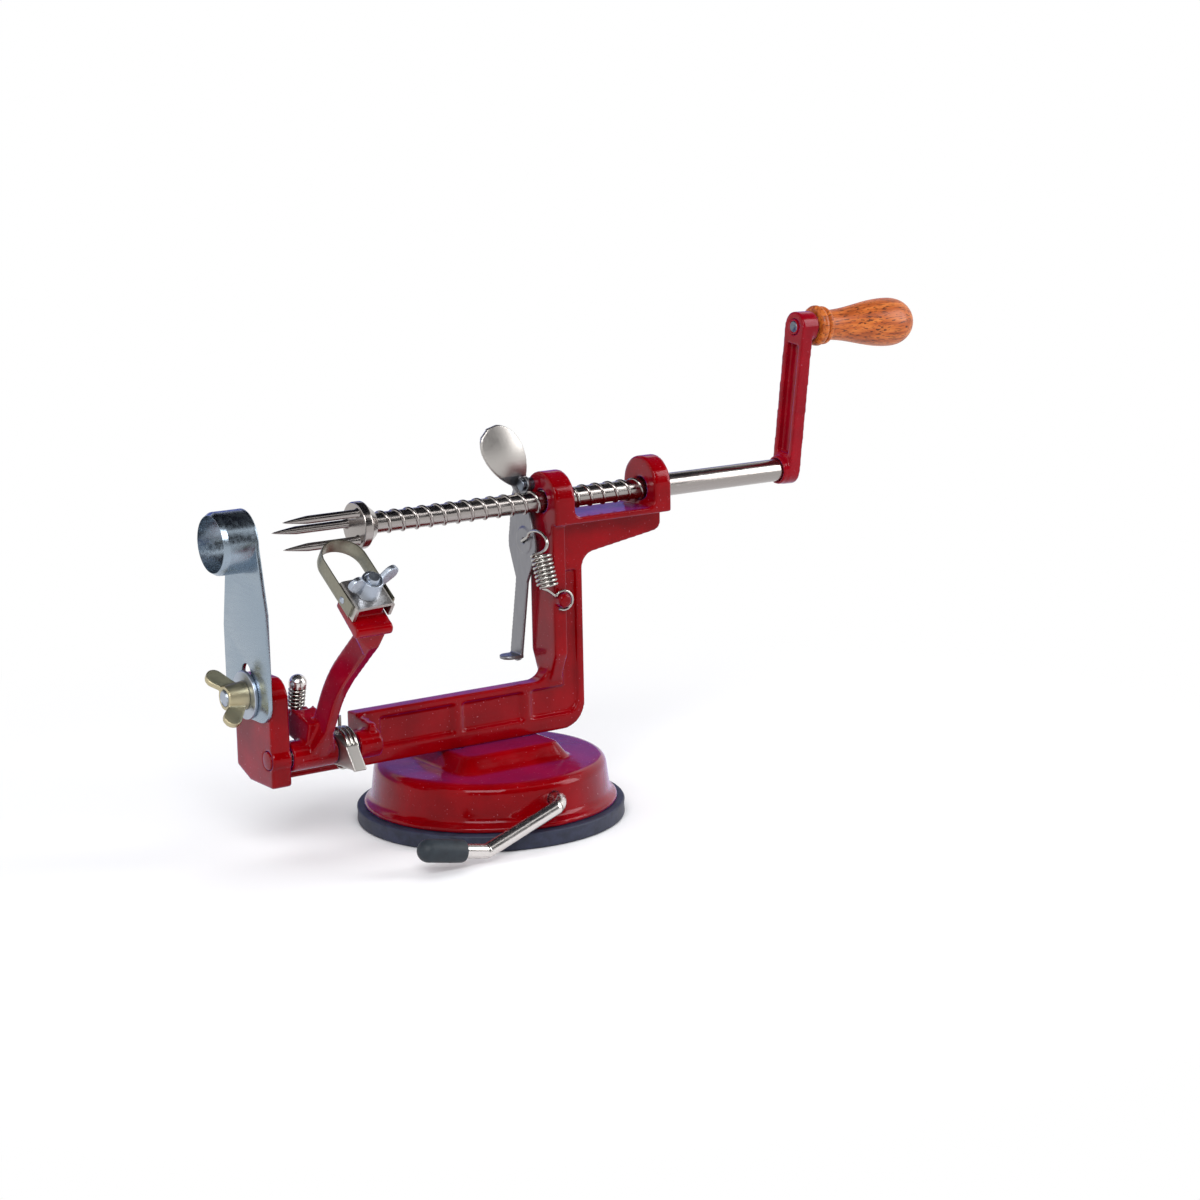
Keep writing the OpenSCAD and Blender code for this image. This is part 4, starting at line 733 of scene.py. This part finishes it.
def slicing_blade():
    """A stamped plate with a slot for its bolt, the coring ring's tube through its top, and a ground edge."""
    half_w, corner, neck_r, bore_r, slot_r, slot_l = 16.0, 7.0, 11.2, 10.0, 3.2, 8.0
    foot, shoulder, neck_z = SHAFT_Z - 63.3, SHAFT_Z - 24, SHAFT_Z - 1
    outline = arc(half_w - corner, foot + corner, corner, -90, 0, 8)
    outline += [(half_w, shoulder - 8), (neck_r, neck_z)]
    outline += arc(0, SHAFT_Z, neck_r, 0, 180, 24) + [(-neck_r, neck_z), (-half_w, shoulder)]
    outline += arc(corner - half_w, foot + corner, corner, 180, 270, 8)
    slot = arc(0, BOLT_Z, slot_r, 180, 360, 12) + arc(0, BOLT_Z + slot_l, slot_r, 0, 180, 12)
    hole = arc(0, SHAFT_Z, bore_r, 0, 352.5, 47)
    middle = along_x(BLOCK_FRONT - BLADE_T / 2, 0, 0)
    parts = [plate("Slicing_plate", [outline, slot, hole], middle, BLADE_T, GROUND, edge=0.3)]
    inner, outer, front, back = bore_r + 0.02, neck_r - 0.02, -13.0, -0.9
    ring = [(inner, front), (inner + 0.08, front), (outer - 0.08, -11.4), (outer, -10.8)]
    ring += [(outer, back), (inner, back)]
    parts.append(lathe("Coring_ring", ring + ring[:1], along_x(BLOCK_FRONT, 0, SHAFT_Z), GROUND, segments=72))
    edge_y, bevel_w, steps = -half_w, 3.2, 8
    rows = []
    for k in range(steps + 1):
        z = foot + 9 + (shoulder - foot - 11) * k / steps
        rows.append([(BLADE_FRONT + 0.04, edge_y + 0.1, z), (BLADE_FRONT + 0.02, edge_y + bevel_w, z),
                     (BLADE_FRONT + 0.3, edge_y + bevel_w, z), (BLADE_FRONT + 0.7, edge_y + 0.04, z)])
    parts.append(section_sweep("Slicing_edge", rows, GROUND))
    stands_for(join("Slicing_blade", parts), "base", "slicing_blade")


def blade_washer():
    hole_r, rim_r, thick, edge = 3.25, 8.68, 1.4, 0.35
    washer = ring_profile(hole_r, rim_r, -thick, 0.0, edge)
    piece = lathe("Blade_washer", washer, along_x(BLADE_FRONT, 0, BOLT_Z), ZINC, segments=72)
    stands_for(piece, "base", "blade_washer")


def blade_bolt():
    """A bolt with a hollow end. Its rounded head lies behind the block."""
    root_r, shank_r, head_r, head, tip = 2.72, 2.98, 5.38, 9.1, -9.38
    bolt = [(0, -7.0), (1.0, -7.2), (2.2, -9.1), (2.45, tip), (root_r, -9.0), (root_r, -1.4), (shank_r, -1.3)]
    bolt += [(shank_r, head), (head_r, head + 0.02), (5.3, 9.9), (4.4, 10.8), (2.6, 11.28), (0, 11.3)]
    parts = [lathe("Blade_bolt", bolt, along_x(BLADE_FRONT, 0, BOLT_Z), ZINC, segments=48),
             screw_thread("Bolt_thread", shank_r - 0.01, along_x(BLADE_FRONT - 9.2, 0, BOLT_Z), 7.6, ZINC)]
    stands_for(join("Blade_bolt", parts), "base", "blade_bolt")


def blade_wing_nut():
    nut = cast("Blade_wing_nut", "blade_wing_nut", BRASSY, grain=0.24, rounds=6)
    stands_for(nut, "base", "blade_wing_nut")


# Paring arm's pivot, springs and stop

def pivot_pin():
    """Bright steel, with its end painted over in the block."""
    pin_r, edge, end, painted, tail = 3.28, 0.5, -97.8, -92.0, -55.15
    place = along_x(0, *PIN_YZ)
    red_end = rod_profile(pin_r, end, painted, edge)
    shank = rod_profile(pin_r, painted - 0.2, tail, edge)
    parts = [lathe("Pivot_pin_end", red_end, place, RED, segments=56),
             lathe("Pivot_pin_shank", shank, place, NICKEL, segments=56)]
    stands_for(join("Pivot_pin", parts), "base", "pivot_pin")


def arm_spring():
    """A torsion spring round the pin: one end reaches over the arm's hub, the other stands up in the bay."""
    wire_d, curl_r, curls, gap = 1.3, 7.1, 2.75, 0.45
    latch_t, play = 1.2, 0.3
    start = HUB_END + play + latch_t + play + wire_d / 2
    turns = []
    for i in range(int(curls * CURL_STEPS) + 1):
        a = math.pi / 2 + 2 * math.pi * i / CURL_STEPS
        x = start + (wire_d + gap) * i / CURL_STEPS
        turns.append(Vector((x, curl_r * math.cos(a) + PIN_YZ[0], curl_r * math.sin(a) + PIN_YZ[1])))
    catch = Vector((HUB_END - 0.6, turns[0].y + wire_d, turns[0].z))
    path = [catch, turns[0] + Vector((-0.8 * wire_d, wire_d, 0))] + turns
    path += [turns[-1] + Vector((0, 0, rise)) for rise in (4.0, 9.9)]
    stands_for(wire("Arm_spring", path, wire_d / 2, WIRE), "base", "arm_spring")


def arm_latch():
    latch = cast("Arm_latch", "arm_latch", BRIGHT, grain=0.24, rounds=4)
    stands_for(latch, "arm_latch", "arm_latch")


def stop_screw():
    """A domed screw in the arm's lug."""
    head_r, shank_r, thread_r, thread_l, tip = 3.28, 1.72, 1.98, 15.0, -7.5
    thread_start = STOP @ at(0, 0, tip + 0.5)
    head = [(0, STOP_H), (head_r - 0.08, STOP_H)] + arc(0, STOP_H + 1.2, head_r, -8, 90, 12)
    shank = [(0, tip), (1.4, tip), (shank_r, tip + 0.4), (shank_r, STOP_H + 0.1), (0, STOP_H + 0.1)]
    parts = [lathe("Stop_screw_head", head, STOP, SATIN, segments=48),
             lathe("Stop_screw_shank", shank, STOP, NICKEL, segments=32),
             screw_thread("Stop_screw_thread", thread_r, thread_start, thread_l, NICKEL, pitch=0.75)]
    stands_for(join("Stop_screw", parts), "paring_arm", "stop_screw")


def stop_spring():
    """A push spring between the lug and the stop screw's head."""
    wire_d, curls, screw_r, play = 0.9, 5, 2.0, 0.3
    curl_r, rest = screw_r + wire_d / 2 + play, (wire_d + play) / 2
    path = []
    for i in range(curls * CURL_STEPS + 1):
        a = 2 * math.pi * i / CURL_STEPS
        z = rest + (STOP_H - 2 * rest) * i / (curls * CURL_STEPS)
        path.append(STOP @ Vector((curl_r * math.cos(a), curl_r * math.sin(a), z)))
    spring = wire("Stop_spring", path, wire_d / 2, WIRE, step=0.25)
    stands_for(spring, "paring_arm", "stop_spring")


# Blade head

def blade_bracket():
    """Sheet folded to a channel that opens downwards."""
    w, h, t, length, out_r, in_r = BRACKET_W, 6.0, 1.2, 13.0, 1.4, 0.4
    bend = t + in_r
    outer = [(-w, -h)] + arc(out_r - w, -out_r, out_r, 180, 90, 5)
    outer += arc(w - out_r, -out_r, out_r, 90, 0, 5) + [(w, -h)]
    inner = [(w - t, -h)] + arc(w - bend, -bend, in_r, 0, 90, 4)
    inner += arc(bend - w, -bend, in_r, 90, 180, 4) + [(t - w, -h)]
    along = (0.0, 0.15, length - 0.15, length)
    rows = [[BRACKET @ Vector((x, y, z)) for x, z in outer + inner] for y in along]
    stands_for(section_sweep("Blade_bracket", rows, BRIGHT), "paring_arm", "blade_bracket")


def paring_blade():
    """A strip bent to a stirrup, ground thin along its lower edge."""
    start, reach, r, leg_steps, bend_steps = 2.0, 23.0, BRACKET_W + 0.5, 8, 28
    leg = [start + (reach - start) * k / leg_steps for k in range(leg_steps + 1)]
    bend = [math.pi * k / bend_steps for k in range(1, bend_steps)]
    path = [(-r, y, -1, 0) for y in leg]
    path += [(-r * math.cos(a), reach + r * math.sin(a), -math.cos(a), math.sin(a)) for a in bend]
    path += [(r, y, 1, 0) for y in leg[::-1]]
    section = [(-0.12, -5.95), (0.05, -5.95), (0.42, -4.9), (0.48, -3.0), (0.45, -1.1), (0.2, -0.03),
               (-0.2, -0.03), (-0.45, -1.1), (-0.48, -3.0), (-0.44, -4.9)]
    rows = []
    for x, y, nx, ny in path:
        rows.append([BRACKET @ Vector((x + nx * out, y + ny * out, z)) for out, z in section])
    stands_for(section_sweep("Paring_blade", rows, OLIVE), "paring_arm", "paring_blade")


def blade_rivets():
    """A domed rivet through each side of the bracket."""
    shank_r, along, down = 0.78, 7.6, -3.0
    dome = [(0, 0.58), (0.5, 0.54), (0.95, 0.36), (1.26, 0.02), (shank_r, 0.0), (shank_r, -2.1), (0, -2.15)]
    parts = []
    for side in (-1, 1):
        place = BRACKET @ at(side * (BRACKET_W + 1.0), along, down, ry=90 * side)
        parts.append(lathe("Blade_rivet", dome, place, ZINC, segments=28))
    stands_for(join("Blade_rivets", parts), "paring_arm", "blade_rivets")


def head_stud():
    """A plain shank in the arm, threaded above the bracket."""
    shank_r, root_r, foot, tip = 2.46, 2.2, -10.2, 7.62
    place = HEAD @ at(0, STUD_Y, 0)
    core = [(0, foot), (shank_r, foot), (shank_r, 0.1), (root_r, 0.2), (root_r, 7.1), (1.9, 7.6), (0, tip)]
    parts = [lathe("Head_stud_core", core, place, ZINC, segments=32),
             screw_thread("Head_stud_thread", shank_r + 0.01, place @ at(0, 0, 0.3), 6.8, ZINC)]
    stands_for(join("Head_stud", parts), "paring_arm", "head_stud")


def head_wing_nut():
    nut = cast("Head_wing_nut", "head_wing_nut", ZINC, grain=0.24, rounds=6)
    stands_for(nut, "paring_arm", "head_wing_nut")


# Pieces that stay as the CAD made them, inside the base

def inner_pieces():
    for name in ("lift_stud", "base_screws"):
        mesh = nodes[name].data
        mesh.materials.clear()
        mesh.materials.append(ZINC)


# Stage, in metres: paper floor, studio cards outside the picture, soft light and the photograph's camera

def white_to_view(tree, shaded, share=None):
    """White where the picture, a reflection or clear stuff shows the surface; the shaded look elsewhere."""
    rays = add(tree, "ShaderNodeLightPath").outputs
    seen = rays["Is Camera Ray"]
    for kind in ("Is Glossy Ray", "Is Transmission Ray"):
        seen = add(tree, "ShaderNodeMath", {0: seen, 1: rays[kind]}, operation="MAXIMUM").outputs["Value"]
    if share is not None:
        seen = add(tree, "ShaderNodeMath", {0: seen, 1: share}, operation="MULTIPLY").outputs["Value"]
    light = "ShaderNodeBackground" if share is None else "ShaderNodeEmission"
    white = add(tree, light, {"Color": lin("#FFFFFF"), "Strength": 1.0})
    return add(tree, "ShaderNodeMixShader", {"Fac": seen, 1: shaded, 2: white.outputs[0]}).outputs["Shader"]


def stage_sheet(name, corners, mat):
    """A flat sheet that belongs to the stage."""
    mesh = bpy.data.meshes.new(name)
    mesh.from_pydata(corners, [], [(0, 1, 2, 3)])
    mesh.materials.append(mat)
    sheet = bpy.data.objects.new(name, mesh)
    scene.collection.objects.link(sheet)
    return sheet


def floor():
    """Paper that keeps the object's shadow near it and fades to white further out."""
    half, z, shadow_r, white_r = 6.0, -0.0002, 0.1, 0.34
    paper, tree, shader = new_material("White paper floor")
    wire_up(tree, shader, {"Base Color": lin("#F4F4F6"), "Roughness": 0.9, "Specular IOR Level": 0.1})
    where = add(tree, "ShaderNodeTexCoord").outputs["Object"]
    away = add(tree, "ShaderNodeVectorMath", {0: where}, operation="LENGTH").outputs["Value"]
    fade = add(tree, "ShaderNodeMapRange", {"Value": away, "From Min": shadow_r, "From Max": white_r},
               interpolation_type="SMOOTHSTEP").outputs["Result"]
    surface = white_to_view(tree, shader.outputs["BSDF"], fade)
    wire_up(tree, tree.nodes["Material Output"], {"Surface": surface})
    stage_sheet("Floor", [(-half, -half, z), (half, -half, z), (half, half, z), (-half, half, z)], paper)


def studio_cards():
    """Dark cloths for the plating's dark streaks, and a blue card that tints what the enamel reflects."""
    dark, tree, shader = new_material("Dark studio cloth")
    wire_up(tree, shader, {"Base Color": lin("#23232B"), "Roughness": 0.9, "Specular IOR Level": 0.05})
    ceiling = [(-1.6, -1.2, 1.7), (1.6, -1.2, 1.7), (1.6, 2.2, 1.7), (-1.6, 2.2, 1.7)]
    stage_sheet("Ceiling_cloth", ceiling, dark)
    front = [(-3.0, -2.2, 0.25), (3.0, -2.6, 0.25), (3.0, -2.6, 2.2), (-3.0, -2.2, 2.2)]
    stage_sheet("Front_cloth", front, dark)
    blue, tree, shader = new_material("Blue studio card")
    wire_up(tree, shader, {"Base Color": lin("#6F7FD0"), "Roughness": 0.9, "Emission Color": lin("#6A78D8"),
                           "Emission Strength": 0.5})
    rear = [(-2.6, 2.4, 0.42), (2.6, 2.4, 0.42), (2.6, 2.4, 1.5), (-2.6, 2.4, 1.5)]
    stage_sheet("Blue_card", rear, blue).visible_diffuse = False


def room_light():
    """Soft light from all round, and a white room to the eye."""
    world = bpy.data.worlds.new("Studio")
    scene.world = world
    world.use_nodes = True
    tree = world.node_tree
    tree.nodes.clear()
    cool_white = (0.78, 0.8, 0.84, 1.0)
    soft = add(tree, "ShaderNodeBackground", {"Color": cool_white, "Strength": 0.6})
    add(tree, "ShaderNodeOutputWorld", {"Surface": white_to_view(tree, soft.outputs["Background"])})


def lamps():
    """Three softboxes: place, aim, size, watts, and whether reflections show it."""
    for name, place, aim, size, watts, shows in (
            ("Key softbox", (-0.75, -0.95, 0.95), (0, 0, 0.08), (0.9, 0.6), 16.0, True),
            ("Fill softbox", (0.95, -0.7, 0.55), (0.05, 0, 0.08), (0.5, 0.8), 8.0, True),
            ("Top softbox", (0.1, 0.25, 1.25), (0, 0, 0.08), (1.9, 1.3), 12.0, False)):
        light = bpy.data.lights.new(name, "AREA")
        light.shape = "RECTANGLE"
        light.size, light.size_y = size
        light.energy = watts
        lamp = bpy.data.objects.new(name, light)
        lamp.location = place
        lamp.rotation_mode = "QUATERNION"
        lamp.rotation_quaternion = (Vector(aim) - Vector(place)).to_track_quat("-Z", "Y")
        lamp.visible_glossy = shows
        scene.collection.objects.link(lamp)


def photo_camera():
    """The camera fitted to the photograph, in degrees and millimetres, with its focal length in pixels."""
    azimuth, elevation, roll = (math.radians(d) for d in (-34.142, 11.689, -1.136))
    distance, shift_right, shift_up = 1048.703, 40.612, 79.896
    focal, picture_w, sensor_w = 2803.162, 1200, 36.0
    level = math.cos(elevation)
    back = Vector((math.sin(azimuth) * level, -math.cos(azimuth) * level, math.sin(elevation)))
    flat = Vector((math.cos(azimuth), math.sin(azimuth), 0))
    above = back.cross(flat)
    right = flat * math.cos(roll) + above * math.sin(roll)
    up = above * math.cos(roll) - flat * math.sin(roll)
    spot = (back * distance + right * shift_right + up * shift_up) * MM
    data = bpy.data.cameras.new("Photo camera")
    data.sensor_width = sensor_w
    data.lens = focal * sensor_w / picture_w
    data.clip_start, data.clip_end = 0.05, 20
    camera = bpy.data.objects.new("Photo camera", data)
    camera.matrix_world = Matrix.Translation(spot) @ Matrix((right, up, back)).transposed().to_4x4()
    scene.collection.objects.link(camera)
    scene.camera = camera
    scene.view_settings.view_transform = "Standard"


suction_pad()
base_shell()
suction_lever()
lever_tip()
castings()
feed_shaft()
feed_thread()
fork()
handle_grip()
handle_rivet()
feed_lever()
feed_lever_pivot()
feed_lever_spring()
slicing_blade()
blade_washer()
blade_bolt()
blade_wing_nut()
pivot_pin()
arm_spring()
arm_latch()
stop_screw()
stop_spring()
blade_bracket()
paring_blade()
blade_rivets()
head_stud()
head_wing_nut()
inner_pieces()
floor()
studio_cards()
room_light()
lamps()
photo_camera()
